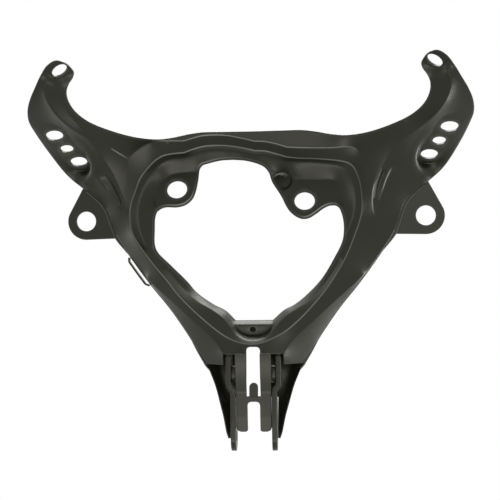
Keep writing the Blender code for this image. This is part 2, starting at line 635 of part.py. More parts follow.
def centre_bracket():
    """The H-shaped stamping between the cheeks: two bowed strips, a cross bar and its tongue."""
    half = CLEVIS_GAP / 2 - CLEARANCE
    top, foot = STRIP_TOP, STRIP_FOOT
    bar_low, bar_high = BAR_LOW, BAR_HIGH
    slot, lower_slot = SLOT_HALF, SLOT_HALF - 0.6 * MM
    right = [(TONGUE_HALF, bar_high), (slot, bar_high), (slot, top), (half, top),
             (half, foot + 4 * MM), (half - 1.2 * MM, foot + 1.2 * MM), (half - 4 * MM, foot),
             (lower_slot + 1.5 * MM, foot), (lower_slot, foot + 1.5 * MM),
             (lower_slot, bar_low - 3 * MM), (lower_slot - 0.9 * MM, bar_low - 0.9 * MM),
             (lower_slot - 3 * MM, bar_low)]
    tongue = [(TONGUE_HALF * math.cos(t), TONGUE_TOP - TONGUE_HALF + TONGUE_HALF * math.sin(t))
              for t in np.radians(np.linspace(90, 0, 6))]
    side = [(x, z, 0.0) for x, z in tongue + right]
    path = side + [(-x, z, depth) for x, z, depth in side[::-1][:-1]]
    path = [(x / MM, z / MM, 0) for x, z, depth in path]
    loop = joined(*(spline([a, b], 4 * MM) for a, b in zip(path, path[1:] + path[:1])))
    points, tris = pressed_skin(loop, [], [], [], 4 * MM)
    points[:, 2] = [strip_depth(x, z) for x, z in points[:, :2]]
    return sheet_object("centre_bracket", (points, tris), BRACKET_SHEET)


def strip_depth(x, z):
    """Depth of the centre bracket: bowed over the upper bolt, straight below, with a set foot."""
    depth = STRIP_DEPTH
    bow = (z - (BAR_HIGH + 4 * MM)) / (STRIP_TOP - BAR_HIGH - 4 * MM)
    if abs(x) < TONGUE_HALF + 0.1 * MM:
        return depth + max(0.0, z - BAR_HIGH) * 0.25
    if bow > 0:
        depth -= STRIP_BOW * math.sin(math.pi / 2 * min(1.0, bow))
    elif z < STRIP_FOOT + 13 * MM:
        depth += 0.12 * (STRIP_FOOT + 13 * MM - z)
    return depth


def collar(name, side):
    """The spacer between a strip of the centre bracket and its cheek, round the upper bolt."""
    y0, z0 = BOLT_HIGH
    inner = CLEVIS_GAP / 2 - CLEARANCE
    outer = plate_face(z0) - PLATE - CLEARANCE
    return sleeve(name, (side * (inner + outer) / 2, y0, z0), COLLAR_R, BOLT_R, outer - inner)


def harness_guide(outline):
    """The bent strap that stands off the left leg's edge and holds the wiring."""
    line = [q for q in outline if q[0] < 0 and GUIDE_LOW <= q[1] <= GUIDE_HIGH]
    line = joined(*(spline([[v / MM for v in a], [v / MM for v in b]], 1.5 * MM)
                    for a, b in zip(line, line[1:])))
    foot = shell_lip(GUIDE_LOW) + CLEARANCE

    def stand(z):
        edge = min(z - line[0][1], line[-1][1] - z) / GUIDE_RAMP
        return foot + (GUIDE_STAND - foot) * min(1.0, max(0.0, edge))

    path = offset(line, stand)
    rows = [[(x, depth + reach, z) for x, z, depth in path]
            for reach in (GUIDE_NEAR, GUIDE_NEAR + GUIDE_WIDTH / 2, GUIDE_NEAR + GUIDE_WIDTH)]
    count = len(path)
    faces = [(r * count + i, (r + 1) * count + i, (r + 1) * count + i + 1, r * count + i + 1)
             for r in range(2) for i in range(count - 1)]
    data = bpy.data.meshes.new("harness_guide")
    data.from_pydata([v for row in rows for v in row], [], faces)
    guide = place("harness_guide", data)
    wall = guide.modifiers.new("wall", "SOLIDIFY")
    wall.thickness = GUIDE_SHEET
    wall.offset = -1.0
    wall.use_even_offset = True
    return guide


def build():
    """Every piece of the stay."""
    outline, main = main_pressing()
    rear_shell(outline)
    harness_guide(outline)
    for name, side in (("left", -1), ("right", 1)):
        lug(name + "_lug", side)
        clevis_plate(name + "_clevis_plate", side)
        collar(name + "_collar", side)
    centre_bracket()


for old in list(bpy.data.objects):
    bpy.data.objects.remove(old, do_unlink=True)
PART = bpy.data.collections.new("fairing_stay")
bpy.context.scene.collection.children.link(PART)
build()
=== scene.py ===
"""Finished look of a motorcycle fairing stay: fine pressed sheets, black paint and a soft studio.

Every sheet is worked out as a height over a flat blank: u runs along X, v along Z and the
depth along Y (for the cheeks u runs along Y and the depth along X). Lengths are in metres.
"""

import math

import bpy
import numpy as np
from mathutils import Matrix, Vector
from mathutils.geometry import delaunay_2d_cdt


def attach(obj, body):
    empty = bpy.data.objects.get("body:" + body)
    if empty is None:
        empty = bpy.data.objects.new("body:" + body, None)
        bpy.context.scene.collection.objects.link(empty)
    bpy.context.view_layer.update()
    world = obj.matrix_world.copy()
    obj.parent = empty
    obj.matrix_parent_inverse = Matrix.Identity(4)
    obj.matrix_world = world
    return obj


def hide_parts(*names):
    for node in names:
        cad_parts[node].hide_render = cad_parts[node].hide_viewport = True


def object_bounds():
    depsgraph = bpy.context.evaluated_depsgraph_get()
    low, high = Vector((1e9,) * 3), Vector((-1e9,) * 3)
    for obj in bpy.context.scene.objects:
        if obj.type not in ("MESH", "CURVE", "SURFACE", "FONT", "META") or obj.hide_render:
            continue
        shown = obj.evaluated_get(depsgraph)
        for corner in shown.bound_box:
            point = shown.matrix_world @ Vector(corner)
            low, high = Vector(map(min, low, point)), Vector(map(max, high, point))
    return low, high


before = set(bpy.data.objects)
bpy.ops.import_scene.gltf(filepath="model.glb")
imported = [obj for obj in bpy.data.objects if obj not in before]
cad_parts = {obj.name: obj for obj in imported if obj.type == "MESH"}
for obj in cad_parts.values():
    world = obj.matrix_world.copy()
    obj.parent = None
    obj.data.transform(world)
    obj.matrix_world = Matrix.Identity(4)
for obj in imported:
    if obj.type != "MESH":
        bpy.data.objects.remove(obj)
CAD_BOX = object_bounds()

bl_info = {
    "name": "Fairing stay",
    "version": (1, 0, 0),
    "blender": (4, 5, 0),
    "location": "3D View > Sidebar > Fairing stay",
    "description": "Builds the sheets, the paint and the studio of a motorcycle fairing stay",
    "category": "Add Mesh",
}

MM = 0.001
DEPTH_ORIGIN = 12.9 * MM
CLEARANCE = 0.3 * MM
STEP = 1.3 * MM  # between the points along a line

# How far the edges of the windows and holes are rounded
WINDOW_EDGE, HOLE_EDGE, TIP_EDGE, LATCH_EDGE = 2.2 * MM, 0.7 * MM, 0.4 * MM, 0.5 * MM
LUG_EDGE, BOLT_EDGE = 0.6 * MM, 0.5 * MM

PAD_X, PAD_Y, PAD_Z, PAD_SLOPE = 173.8 * MM, 30.3 * MM, 282.5 * MM, 1.5
PAD_PITCH, PAD_LEAN, PAD_SQUASH, PAD_SINK = 13.1 * MM, math.radians(55.5), 0.8, 0.9 * MM
PAD_SKEW = {-1: 0.38, 1: -0.2}
PAD_HOLES = ((-1, 8.0 * MM), (0, 6.1 * MM), (1, 8.0 * MM))
TIP_X, TIP_Y, TIP_Z, TIP_SLOPE_X, TIP_SLOPE_Z = 162.4 * MM, -36.0 * MM, 343.4 * MM, 0.68, 1.34
TIP_HOLE_R, TIP_SQUASH, TIP_SKEW = 7.2 * MM, 0.72, 0.3
EAR_Y, EAR_Z, EAR_SLOPE, EAR_HOLE_R = 47.5 * MM, 230.0 * MM, 0.5, 9.6 * MM
EAR_LEFT, EAR_RIGHT = (-73.0 * MM, 243.5 * MM), (49.0 * MM, 230.0 * MM)
LOCATING_PAD, LOCATING_R = (28.0 * MM, 250.0 * MM), 9.4 * MM
LOCATING_WALL, LOCATING_DEPTH = 1.6 * MM, 2.2 * MM
LATCH_Y, LATCH_Z, LATCH_SLOPE = 31.5 * MM, 105.0 * MM, 0.08
LATCH_HOLE, LATCH_HOLE_R = (-1.0 * MM, 109.8 * MM), 2.6 * MM
FOOT_REACH, POCKET_REACH = 1.2 * MM, 3.0 * MM
LEG_END, LEG_WALL, SHELL_TOP = 78.0 * MM, 2.2 * MM, 244.6 * MM
SHELL_LIP, SHELL_END, SHELL_BEHIND, SHELL_SEAT = 3.4 * MM, 6.0 * MM, 2.6 * MM, 3.5 * MM
SHELL_START_X, SPINE_REACH = 43.9 * MM, 2.5 * MM
WEB_FOOT, WEB_TOP, WEB_FOOT_Y, WEB_TOP_Y = 46.0 * MM, 96.3 * MM, 37.5 * MM, 47.0 * MM
WEB_EDGE = 8.3 * MM
HEM, TIP_HEM, HEM_END = 8.0 * MM, 1.6 * MM, 254.0 * MM
NECK_LOW, NECK_HIGH = 298.0 * MM, 326.0 * MM
LUG_HOLE, LUG_HOLE_R, LUG_R = (164.5 * MM, 214.5 * MM), 9.5 * MM, 18.0 * MM
LUG_SEAT = 66.9 * MM
GUIDE_LOW, GUIDE_HIGH, GUIDE_RAMP, GUIDE_STAND = 152 * MM, 180 * MM, 3.0 * MM, 3.4 * MM
GUIDE_NEAR, GUIDE_WIDTH, GUIDE_WALL = 0.5 * MM, 6.5 * MM, 1.6 * MM
CLEVIS_GAP, PLATE, JOGGLE, JOGGLE_LOW, JOGGLE_HIGH = 33 * MM, 4.6 * MM, 4 * MM, 53 * MM, 60 * MM
PLATE_TOP, BOLT_LOW, BOLT_HIGH, BOLT_R = 88 * MM, (18 * MM, 13 * MM), (20 * MM, 70 * MM), 5.2 * MM
SLOT_HALF, SLOT_TOP, COLLAR_R = 6.3 * MM, 95.3 * MM, 8.2 * MM
STRIP_TOP, STRIP_FOOT, STRIP_DEPTH, STRIP_BOW = 90 * MM, 18 * MM, 11 * MM, 6.5 * MM
BAR_LOW, BAR_HIGH, TONGUE_HALF, TONGUE_TOP = 45.5 * MM, 50.5 * MM, 4 * MM, 62.5 * MM


def pad_depth(x, z):
    """Plane of a mirror's foot: deeper by 1.5 for each unit down."""
    return PAD_Y - PAD_SLOPE * (z - PAD_Z)


def tip_depth(x, z):
    """Plane of a horn's tip: nearer by 1.34 for each unit up and 0.68 for each outwards."""
    return TIP_Y - TIP_SLOPE_Z * (z - TIP_Z) - TIP_SLOPE_X * (abs(x) - TIP_X)


def ear_depth(x, z):
    """Plane of the headlight's ears: deeper by half for each unit up."""
    return EAR_Y + EAR_SLOPE * (z - EAR_Z)


def latch_depth(x, z):
    """Plane of the small threaded face under the window: almost upright."""
    return LATCH_Y - LATCH_SLOPE * (z - LATCH_Z)


def on(plane, *points):
    """Key points whose depth is the plane's."""
    return [(x, z, plane) for x, z in points]


def highlighted(keys, *strengths):
    """The same key points with the strength of a painted highlight, from 0 to 1, in the depth's
    place.
    """
    return [(x, z, strength) for (x, z, _), strength in zip(keys, strengths)]


# Key points of the lines drawn on the blank: (x, z, depth) in millimetres
HORN = [
    (0, 296, 42), (30, 296.2, 42), (47, 296.2, 42), (60, 294.6, 42), (75, 291.6, 41),
    (89, 290, 38), (108, 291.5, 30), (130, 297, 16), (147, 304, 3), (156, 311.5, -9),
    (160, 320, -18), (160, 327, -24), (157, 333.5, -27), (153, 339, -28),
    (152, 344, tip_depth), (155.5, 348.5, tip_depth), (162.5, 350.7, tip_depth),
    (171, 346.5, tip_depth), (178.5, 338.5, -41), (186, 329, -33), (193, 320.5, -24),
    (198.5, 312, -13), (200.8, 304, -1), (199, 295, 14), (192.5, 279, 37), (181, 260, 55),
    (167, 247, 61), (148, 232, 62), (143, 225, 62), (138, 211, 62), (133, 198.5, 61.5),
    (119.5, 178.5, 59), (100, 152.5, 54), (80, 128.5, 49), (64, 106.5, 43), (54, 91.5, 38),
    (44, 78, 33),
]
FIELD_EDGE = [
    (112, 168, 55), (98, 153.5, 48), (80, 138.5, 40.5), (63, 124, 33), (47, 110.5, 26),
    (37, 102, 20.5), (31, 95, 16.5),
]
WINDOW = [
    [(-19, 271, 60.5), (-7, 269.8, 60.5), (4, 266.8, 61), (10.5, 263.5, 61.3),
     (15, 257.8, 60.8),
     *on(ear_depth, (18, 249), (26, 236), (35.5, 219.5), (45, 213), (52, 213), (60, 217.5),
         (67, 222.5), (74, 225)),
     (80.5, 223, 44), (83.5, 217, 44.5), (85.2, 209, 46),
     (85.3, 199, 47.5), (83.5, 190, 48.5), (77, 177, 49), (64, 156, 48.5), (49, 140.5, 46),
     (38, 132, 43), (28, 127, 40.5), (17.5, 118, 38)],
    [(17.5, 118, 38), (-17.5, 118, 38)],
    [(-17.5, 118, 38), (-27, 127, 40.5), (-39, 133, 43.5), (-55, 144.5, 46.5),
     (-64, 155, 48.5), (-80, 171, 49), (-92, 183.5, 48.5), (-94.3, 190, 47.5),
     (-94, 205, 46), (-93, 217, 45), (-90, 223, 44.5),
     *on(ear_depth, (-84, 226), (-72, 226), (-64.5, 228), (-58, 233.5), (-55, 241),
         (-53, 253), (-52, 262.5)),
     (-49.5, 266.2, 63.5), (-43, 268.2, 62.3), (-31, 270.6, 61), (-19, 271, 60.5)],
]
STEP_ONE = [
    [(-121.5, 222, 48), (-121.5, 243, 45), (-119, 259, 43), (-116.8, 272, 42),
     (-105, 283, 41.5), (-93, 288, 41), (-77, 288.4, 41.2), (-64, 288.2, 41.5)],
    [(-64, 288.2, 41.5), (-56.3, 290.4, 41.8), (-48.7, 292.3, 42), (-39.2, 293.2, 42),
     (-24, 292.5, 42), (-10.8, 289.9, 42), (3.3, 286.4, 42)],
    [(3.3, 286.4, 42), (11.7, 286, 42), (23, 283.5, 42), (33.3, 280.2, 42)],
    [(33.3, 280.2, 42), (45.5, 279.4, 42), (75.5, 278.6, 42), (92, 279.2, 42), (99, 277, 42),
     (103, 266, 43), (105, 256, 44.5), (106, 245, 46), (107.5, 224, 48.5)],
]
STEP_TWO = [
    [(-65.2, 277.9, 50), (-76.7, 277, 50), (-85.4, 275.3, 50), (-92.2, 271.6, 50),
     (-100, 264, 49.5), (-107.9, 253.6, 49), (-112, 243, 48.5), (-117, 228, 47.5),
     (-118, 214, 46.5), (-115, 201, 45), (-96, 173, 41), (-83, 158, 37), (-69, 141, 32),
     (-45, 119, 24), (-26, 105, 18.5), (-13, 99.5, 15.5), (-2, 97.8, 14.5), (9, 99.2, 15.5),
     (28, 108, 19.5), (41, 118, 24), (57, 134, 30.5), (71, 151, 36), (87, 177, 41.5),
     (96, 198, 45), (102, 216, 47.5), (103, 229, 48.5), (100.5, 249, 49.5), (94, 262.5, 50),
     (86.7, 266, 50), (59, 269.5, 50), (45.2, 270.2, 50), (32.9, 271.6, 50)],
    [(32.9, 271.6, 50), (22.6, 274.8, 50), (12.2, 277.7, 50), (2.7, 278.3, 50)],
    [(2.7, 278.3, 50), (-11.6, 281.7, 50), (-24.9, 283.7, 50), (-40.2, 284, 50),
     (-47.8, 283.2, 50), (-56.5, 281, 50), (-65.2, 277.9, 50)],
]
WALL_FOOT = [
    (-103, 188, 49), (-108, 201, 50), (-110.5, 219, 50.5), (-108.8, 234, 51.5),
    (-105.5, 246, 53.5), (-102.3, 252.5, 55), (-96.5, 261, 56.5), (-89.5, 267.8, 57.5),
    (-83.5, 271.3, 57.5), (-75.5, 273.2, 57.5), (-64, 274, 57.5), (-55, 277.2, 57),
    (-46.8, 279.4, 57), (-39.8, 280.2, 57), (-25.3, 279.9, 57), (-12.5, 278, 57),
    (1.8, 274.6, 56.5), (11.6, 274, 56), (21.5, 271.1, 55.5), (32.2, 268, 55),
    (45, 266.8, 54.5), (59, 266, 54.5), (75, 264, 54.5), (83.5, 261.4, 54.5),
    (89.5, 257, 54), (94, 248.5, 53), (96.5, 238, 52), (96.5, 225, 51), (93, 211, 50),
    (87, 196, 49),
]
EAR_FLATS = [
    on(ear_depth, (-92.8, 233.5), (-92, 241.3), (-90.3, 247.2), (-87.4, 253), (-80.7, 257.8),
       (-71, 259.9), (-56.5, 260.5), (-48, 262), (-50, 240), (-60, 222), (-90, 222),
       (-92.8, 233.5)),
    on(ear_depth, (39, 251.4), (54.3, 250.4), (79, 248.4), (79.8, 237.8), (77.6, 228),
       (70, 221), (50, 210), (38, 214), (30, 226), (33, 236), (38, 242), (39, 251.4)),
]
LEG_TURN = [
    (-82.5, 168, 47.5), (-67.3, 149.2, 42.5), (-53.3, 137, 36.5), (-39, 129, 32),
    (-30, 122.5, 28.5), (-24, 115.5, 26), (-18.5, 108.5, 23), (-12, 103.6, 20.5),
    (-5, 101.2, 19), (5, 101.2, 19), (12, 103.6, 20.5), (18.5, 109.5, 23.5), (24, 116.5, 27),
    (31, 123, 30), (41, 129.3, 33), (54.2, 138.2, 37.5), (68.2, 153.4, 43.5), (80, 172.2, 47.5),
]
LATCH = on(latch_depth, (17, 114.2), (13.5, 109.5), (8, 106.2), (0, 105), (-8, 106.2),
           (-13.5, 109.5), (-17, 114.2))
PAD_RIM = [
    (160.5, 284, 28), (155.5, 277, 33.5), (153.5, 270, 38), (154, 263, 43),
    (157.5, 256, 49), (163, 250.5, 54.5),
]
PAD_EDGE = on(
    pad_depth, (174.5, 264), (161, 264), (157, 268.5), (158, 275), (161, 281), (165.5, 288),
    (168.5, 294), (173, 299.5), (180, 302.6), (188, 302.4), (193.8, 298.5), (190, 289),
    (182, 274.5), (174.5, 264))
LEFT_CREASES = [
    [(-173, 334, -40), (-176.5, 325, -35), (-174, 313, -25), (-168, 303, -12),
     (-160, 296, 2), (-149, 288.5, 16), (-144, 281, 24), (-140, 273, 31), (-132, 259, 39),
     (-124.5, 238, 45.5), (-121.5, 222, 48)],
    [(-164.5, 319.5, -20), (-161.5, 310.1, -9), (-155.1, 300.1, 5.5), (-149.1, 294.2, 13),
     (-140.1, 287.5, 22.5), (-130.7, 280.9, 31), (-124.4, 276.7, 36.5), (-116.8, 272, 42)],
    [(-148, 254, 45.5), (-139, 243, 46.5), (-131, 231, 49), (-125, 218, 51.5)],
    [(-140, 257, 45.5), (-134, 245, 49), (-127.5, 231, 51)],
]
RIGHT_CREASES = [
    [(173, 334, -40), (176.5, 325, -35), (174, 313, -25), (168, 303, -12), (158, 294.5, 4),
     (146, 287, 15), (137, 281, 22), (129.5, 274, 29), (123, 263, 35.5), (116, 248, 41.5),
     (113.5, 240, 43.5), (112.5, 226, 47), (114.5, 214, 50.5)],
    [(140, 298, 9), (129, 288, 20.5), (118, 276, 32), (107.5, 262, 42)],
    [(131, 259, 40), (125, 247, 44), (121, 235, 48), (118, 222, 51)],
    [(123.5, 256, 43.5), (118.7, 243, 47.5), (116.3, 232, 49.8)],
]
# Painted highlights along the crests: (x, z, brightness of the painted highlight)
CREST_HIGHLIGHTS = [
    [(-92, 288.2, 0), (-86, 288.4, 0.3), (-77, 288.4, 0.5), (-64, 288.2, 0.6)],
    highlighted(STEP_ONE[1], 0.6, 0.6, 0.8, 0.9, 0.6, 0.5, 0.6),
    highlighted(STEP_ONE[2], 0.6, 0.6, 0.6, 0.6),
    highlighted(STEP_ONE[3], 0.6, 0.6, 0.4, 0.3, 0),
    highlighted(STEP_TWO[0], 0.7, 0.7, 0.7, 0.6, 0.5, 0.5, 0.35, 0.3, 0.3, 0.35, 0.5, 0.6, 0.6, 0.6,
        0.6, 0.4, 0.4, 0.4, 0.6, 0.6, 0.6, 0.5, 0.4, 0.35, 0.3, 0.25, 0.25, 0.5, 0.6, 0.45,
        0.45, 0.6),
    highlighted(STEP_TWO[1], 0.6, 0.7, 0.7, 0.7),
    highlighted(STEP_TWO[2], 0.7, 0.5, 0.5, 0.7, 0.7, 0.7, 0.7),
    highlighted(LEFT_CREASES[1][5:], 0.5, 0.7, 0),
    [(131, 259, 0), (128, 253.5, 1), (125, 247, 1), (123, 241, 0.7), (121, 235, 0)],
    highlighted(RIGHT_CREASES[0][9:], 0, 1, 1, 0),
    [(19.5, 253.5, 0.2), (23.9, 256.4, 1), (29.7, 256.8, 0.5), (34, 254.5, 0)],
]
# Painted highlight along the window's edge: (x, z, brightness) for each key point of WINDOW
WINDOW_HIGHLIGHT_KEYS = [
    highlighted(WINDOW[0], *[0.15] * 6, 0.1, 0.1, 0.3, 0.9, 1, 1, 0.6, 0.2, *[0.1] * 9, 0.15),
    highlighted(WINDOW[1], 0.15, 0.15),
    highlighted(WINDOW[2], 0.15, *[0.1] * 9, 0.2, 0.4, 0.9, 1, 0.8, 0.3, 0.1, 0.1, 0.6, 0.6, 0.3, 0.15),
]
SHELL_FOOT = [
    (42.6, 71.5, 34.5), (37.4, 59.5, 30), (34.3, 50.2, 26.5), (31.6, 41, 22),
    (28.9, 31.8, 18.2), (26.9, 22.6, 15), (25.6, 17, 13.3), (23.8, 12, 12),
]
SHELL_INNER = [
    (108, 222, 62.5), (102.5, 203.5, 61), (97, 188, 58), (81, 163, 55), (63, 138, 53),
    (48, 124, 51), (33, 115, 49.5), (20, 112, 48), (0, 112, 47.5),
]
SHELL_SPINE = [
    (128, 232, 64.4), (119, 206, 64.2), (104, 180, 64), (86, 155, 61.5), (68, 132, 58.5),
    (53, 113, 55), (42, 96, 51), (35.5, 78, 47), (31, 60, 42), (27.5, 44, 36.5),
]
LUG_CORNERS = ((167, 247.5), (128, 231), (124, 197.5))
CHEEK_EDGE = ((32.5, 30), (35, 53), (38.5, 60), (43, 86), (41, 88), (14.5, 88), (13, 86.5),
              (10, 60), (8.5, 53), (6, 30))


# Lines

SAME_POINT = 0.2 * MM
# Lengths and areas below these count as nothing; a corner moves out by 1 / SHARPEST at most
NO_LENGTH, NO_AREA, SHARPEST = 1e-9, 1e-14, 0.6
BATCH = 4000


def curve(keys, step):
    """Centripetal Catmull-Rom spline: each span blends three straight lines between its four
    keys, with knots spaced by the square root of the keys' distances."""
    p = np.array([(x * MM, z * MM, d(x * MM, z * MM) if callable(d) else d * MM)
                  for x, z, d in keys])
    p = np.vstack([2 * p[0] - p[1], p, 2 * p[-1] - p[-2]])
    spans = [p[1:2]]
    for a, b, c, d in zip(p, p[1:], p[2:], p[3:]):
        k = np.cumsum([0] + [math.dist(s[:2], e[:2]) ** 0.5 + NO_LENGTH
                             for s, e in ((a, b), (b, c), (c, d))])
        count = max(1, round(math.dist(b[:2], c[:2]) / step))
        t = (k[1] + (k[2] - k[1]) * np.arange(1, count + 1) / count)[:, None]
        ab = a + (b - a) * (t - k[0]) / (k[1] - k[0])
        bc = b + (c - b) * (t - k[1]) / (k[2] - k[1])
        cd = c + (d - c) * (t - k[2]) / (k[3] - k[2])
        abc = ab + (bc - ab) * (t - k[0]) / (k[2] - k[0])
        bcd = bc + (cd - bc) * (t - k[1]) / (k[3] - k[1])
        spans.append(abc + (bcd - abc) * (t - k[1]) / (k[2] - k[1]))
    return np.vstack(spans)


def polyline(points, step):
    """Straight runs between points given in metres, cut into equal steps."""
    keys = [tuple(value / MM for value in point) for point in points]
    return joined(*(curve(run, step) for run in zip(keys, keys[1:])))


def joined(*runs):
    """Runs laid end to end, without the points that repeat."""
    line = np.vstack(runs)
    gap = np.linalg.norm(np.diff(line[:, :2], axis=0), axis=1)
    line = line[np.concatenate([[True], gap > SAME_POINT])]
    return line[:-1] if math.dist(line[0, :2], line[-1, :2]) < SAME_POINT else line


def chain(spans, step):
    """Curves laid end to end, with a corner where two of them meet."""
    return joined(*(curve(keys, step) for keys in spans))


def mirrored(line):
    """The line on the other side of the middle plane, run the other way."""
    return line[::-1] * (-1, 1, 1)


def ring(center, radius, plane, step, grow=1.0, squash=1.0):
    """Circle in a sloping plane: centre + radius (across cos t + along sin t). grow makes it
    larger with the same count of points, and squash makes it lower."""
    x0, z0 = center
    y0 = plane(x0, z0)
    gx, gz = (plane(x0 + MM, z0) - y0) / MM, (plane(x0, z0 + MM) - y0) / MM
    across = np.array((1, gx, 0)) / math.hypot(1, gx)
    normal = np.array((gx, -1, gz)) / math.sqrt(gx * gx + gz * gz + 1)
    along = np.cross(normal, across)
    t = np.linspace(0, 2 * math.pi, max(14, round(2 * math.pi * radius / step)),
                    endpoint=False)[:, None]
    v = (across * np.cos(t) + along * squash * np.sin(t)) * radius * grow
    return np.column_stack([x0 + v[:, 0], z0 + v[:, 2], y0 + v[:, 1]])


def wound(loop, left):
    """The closed line turned so that its inside is on its left, or on its right."""
    x, z = loop[:, 0], loop[:, 1]
    area = np.sum(x * np.roll(z, -1) - z * np.roll(x, -1))
    return loop if (area > 0) == left else loop[::-1]


def leftwards(line, reach, closed):
    """Every point moved by reach to the left of the line, square to the mean of its two sides."""
    p = line[:, :2]
    before = np.roll(p, 1, axis=0) if closed else np.vstack([2 * p[0] - p[1], p[:-1]])
    after = np.roll(p, -1, axis=0) if closed else np.vstack([p[1:], 2 * p[-1] - p[-2]])
    sides = [v / np.maximum(np.linalg.norm(v, axis=1), NO_LENGTH)[:, None]
             for v in (p - before, after - p)]
    normals = [np.column_stack([-v[:, 1], v[:, 0]]) for v in sides]
    mean = normals[0] + normals[1]
    mean /= np.maximum(np.linalg.norm(mean, axis=1), NO_LENGTH)[:, None]
    stretch = 1 / np.maximum(SHARPEST, np.sum(mean * normals[0], axis=1))
    moved = line.copy()
    moved[:, :2] += mean * (np.broadcast_to(reach, len(line)) * stretch)[:, None]
    return moved


def inside(points, loop):
    """Even-odd rule: a point is inside if a ray from it crosses the closed line oddly."""
    a = loop[:, :2]
    b = np.roll(a, -1, axis=0)
    rise = np.where(b[:, 1] == a[:, 1], 1e-12, b[:, 1] - a[:, 1])
    found = np.zeros(len(points), bool)
    for start in range(0, len(points), BATCH):
        x, z = points[start:start + BATCH, 0:1], points[start:start + BATCH, 1:2]
        cut = a[:, 0] + (z - a[:, 1]) * (b[:, 0] - a[:, 0]) / rise
        spans = (a[:, 1] > z) != (b[:, 1] > z)
        found[start:start + BATCH] = np.sum(spans & (x < cut), axis=1) % 2
    return found


def between(points, loops):
    """Which points lie inside the first closed line and outside the others."""
    found = inside(points, loops[0])
    for hole in loops[1:]:
        found &= ~inside(points, hole)
    return found


def crowded(points, near, cell, reach):
    """Which points have one of the near points within reach, on a grid of cells."""
    low = near[:, :2].min(axis=0) - reach - 3 * cell
    size = ((near[:, :2].max(axis=0) + reach + 3 * cell - low) / cell).astype(int) + 1
    marked = np.zeros(size, bool)
    at = ((near[:, :2] - low) / cell).astype(int)
    span = int(math.ceil(reach / cell))
    for i in range(-span, span + 1):
        for j in range(-span, span + 1):
            if math.hypot(i, j) * cell <= reach:
                marked[at[:, 0] + i, at[:, 1] + j] = True
    where = np.clip(((points[:, :2] - low) / cell).astype(int), 0, size - 1)
    return marked[where[:, 0], where[:, 1]]


def distance(points, line):
    """How far each point is from the nearest of the line's points."""
    found = np.full(len(points), 1.0)
    for start in range(0, len(line), 200):
        part = line[start:start + 200, :2]
        gap = points[:, None, :2] - part[None]
        found = np.minimum(found, np.sqrt((gap ** 2).sum(axis=2).min(axis=1)))
    return found


# Sheets

# Rows of points beside every crease: (how far off, spacing, least gap to other points)
SIDE_ROWS = ((0.4 * MM, 0.35 * MM, 0.22 * MM), (0.9 * MM, 0.5 * MM, 0.32 * MM))
# The even grid's spacing and its least gap to other points, as shares of its pitch
GRID_SIZE, GRID_ROOM = 0.5, 0.62
# Width of the painted highlight's bell across a crest, and how far from the line it reaches
HIGHLIGHT_WIDTH, HIGHLIGHT_REACH = 0.38 * MM, 1.6 * MM
# Painted highlight on a rim's first row, as a share of its edge's, and along the windows' edges
RIM_HIGHLIGHT, WINDOW_EDGE_HIGHLIGHT = 0.25, 0.1
STEEPEST = 3.0
# How far an edge's bends reach, as shares of its depth and of its width in the blank
FACE_BEND, FOOT_BEND, FOOT_WIDTH, HEEL_BEND = 0.42, 0.3, 0.8, 0.25
ROUND_OFF, HEEL_REACH, LEAST_TURN = 0.35 * MM, 0.7 * MM, 0.04 * MM


def blank(loops, insets, lines, pitch):
    """Flat triangles over the blank: every line and its side rows, and an even grid between.

    Returns the points, the triangles and, for each loop, inset and line, its point numbers.
    """
    runs = [(q, True) for q in loops + insets] + [(q, False) for q in lines]
    fixed = np.vstack([q for q, _ in runs])
    edges, start = [], 0
    for q, closed in runs:
        n = np.arange(start, start + len(q))
        pairs = np.column_stack([n, np.roll(n, -1)])
        edges += (pairs if closed else pairs[:-1]).tolist()
        start += len(q)
    low, high = loops[0][:, :2].min(axis=0), loops[0][:, :2].max(axis=0)
    grid = np.stack(np.meshgrid(np.arange(low[0], high[0], pitch),
                                np.arange(low[1], high[1], pitch * math.sqrt(3) / 2)), axis=-1)
    grid[1::2, :, 0] += pitch / 2
    layers = []
    for away, size, room in SIDE_ROWS:
        rows = [leftwards(q, s * away, False)[:, :2] for q in lines if len(q) > 2
                for s in (1, -1)]
        rows += [leftwards(q, away, True)[:, :2] for q in insets[:2]]
        layers.append((np.vstack(rows), room, size))
    layers.append((grid.reshape(-1, 2), GRID_ROOM * pitch, GRID_SIZE * pitch))
    loose = np.zeros((0, 2))
    for extra, room, size in layers:
        if not len(extra):
            continue
        extra = extra[~crowded(extra, np.vstack([fixed[:, :2], loose]), 0.1 * MM, room)]
        cell = np.unique((extra / size).astype(int), axis=0, return_index=True)[1]
        extra = extra[np.sort(cell)]
        loose = np.vstack([loose, extra[between(extra, loops)]])
    flat = np.vstack([fixed[:, :2], loose])
    out, _, faces, source, _, _ = delaunay_2d_cdt(
        [Vector(v) for v in flat.tolist()], edges, [], 0, 0.01 * MM)
    points = np.array([v[:] for v in out])
    number = -np.ones(len(flat), int)
    for i, o in enumerate(source):
        for k in o:
            number[k] = i
    tris = np.array([list(f) for f in faces])
    tris = tris[between(points[tris].mean(axis=1), loops)]
    groups, start = [], 0
    for q, _ in runs:
        groups.append(number[start:start + len(q)])
        start += len(q)
    return points, tris, groups


def stiffness(points, tris, ease=None):
    """Cotangent weights: each side of a triangle pulls its ends together by half the
    cotangent of the angle across from it. ease scales the pull at each point."""
    ends, pull = [], []
    for k in range(3):
        a, b, c = tris[:, k], tris[:, (k + 1) % 3], tris[:, (k + 2) % 3]
        u, v = points[b] - points[a], points[c] - points[a]
        cross = np.abs(u[:, 0] * v[:, 1] - u[:, 1] * v[:, 0])
        cot = np.sum(u * v, axis=1) / np.maximum(cross, NO_AREA)
        weight = 0.5 * np.clip(cot, -3, 12)
        ends.append(np.column_stack([b, c]))
        pull.append(weight if ease is None else weight * (ease[b] + ease[c]) / 2)
    return np.vstack(ends), np.concatenate(pull)


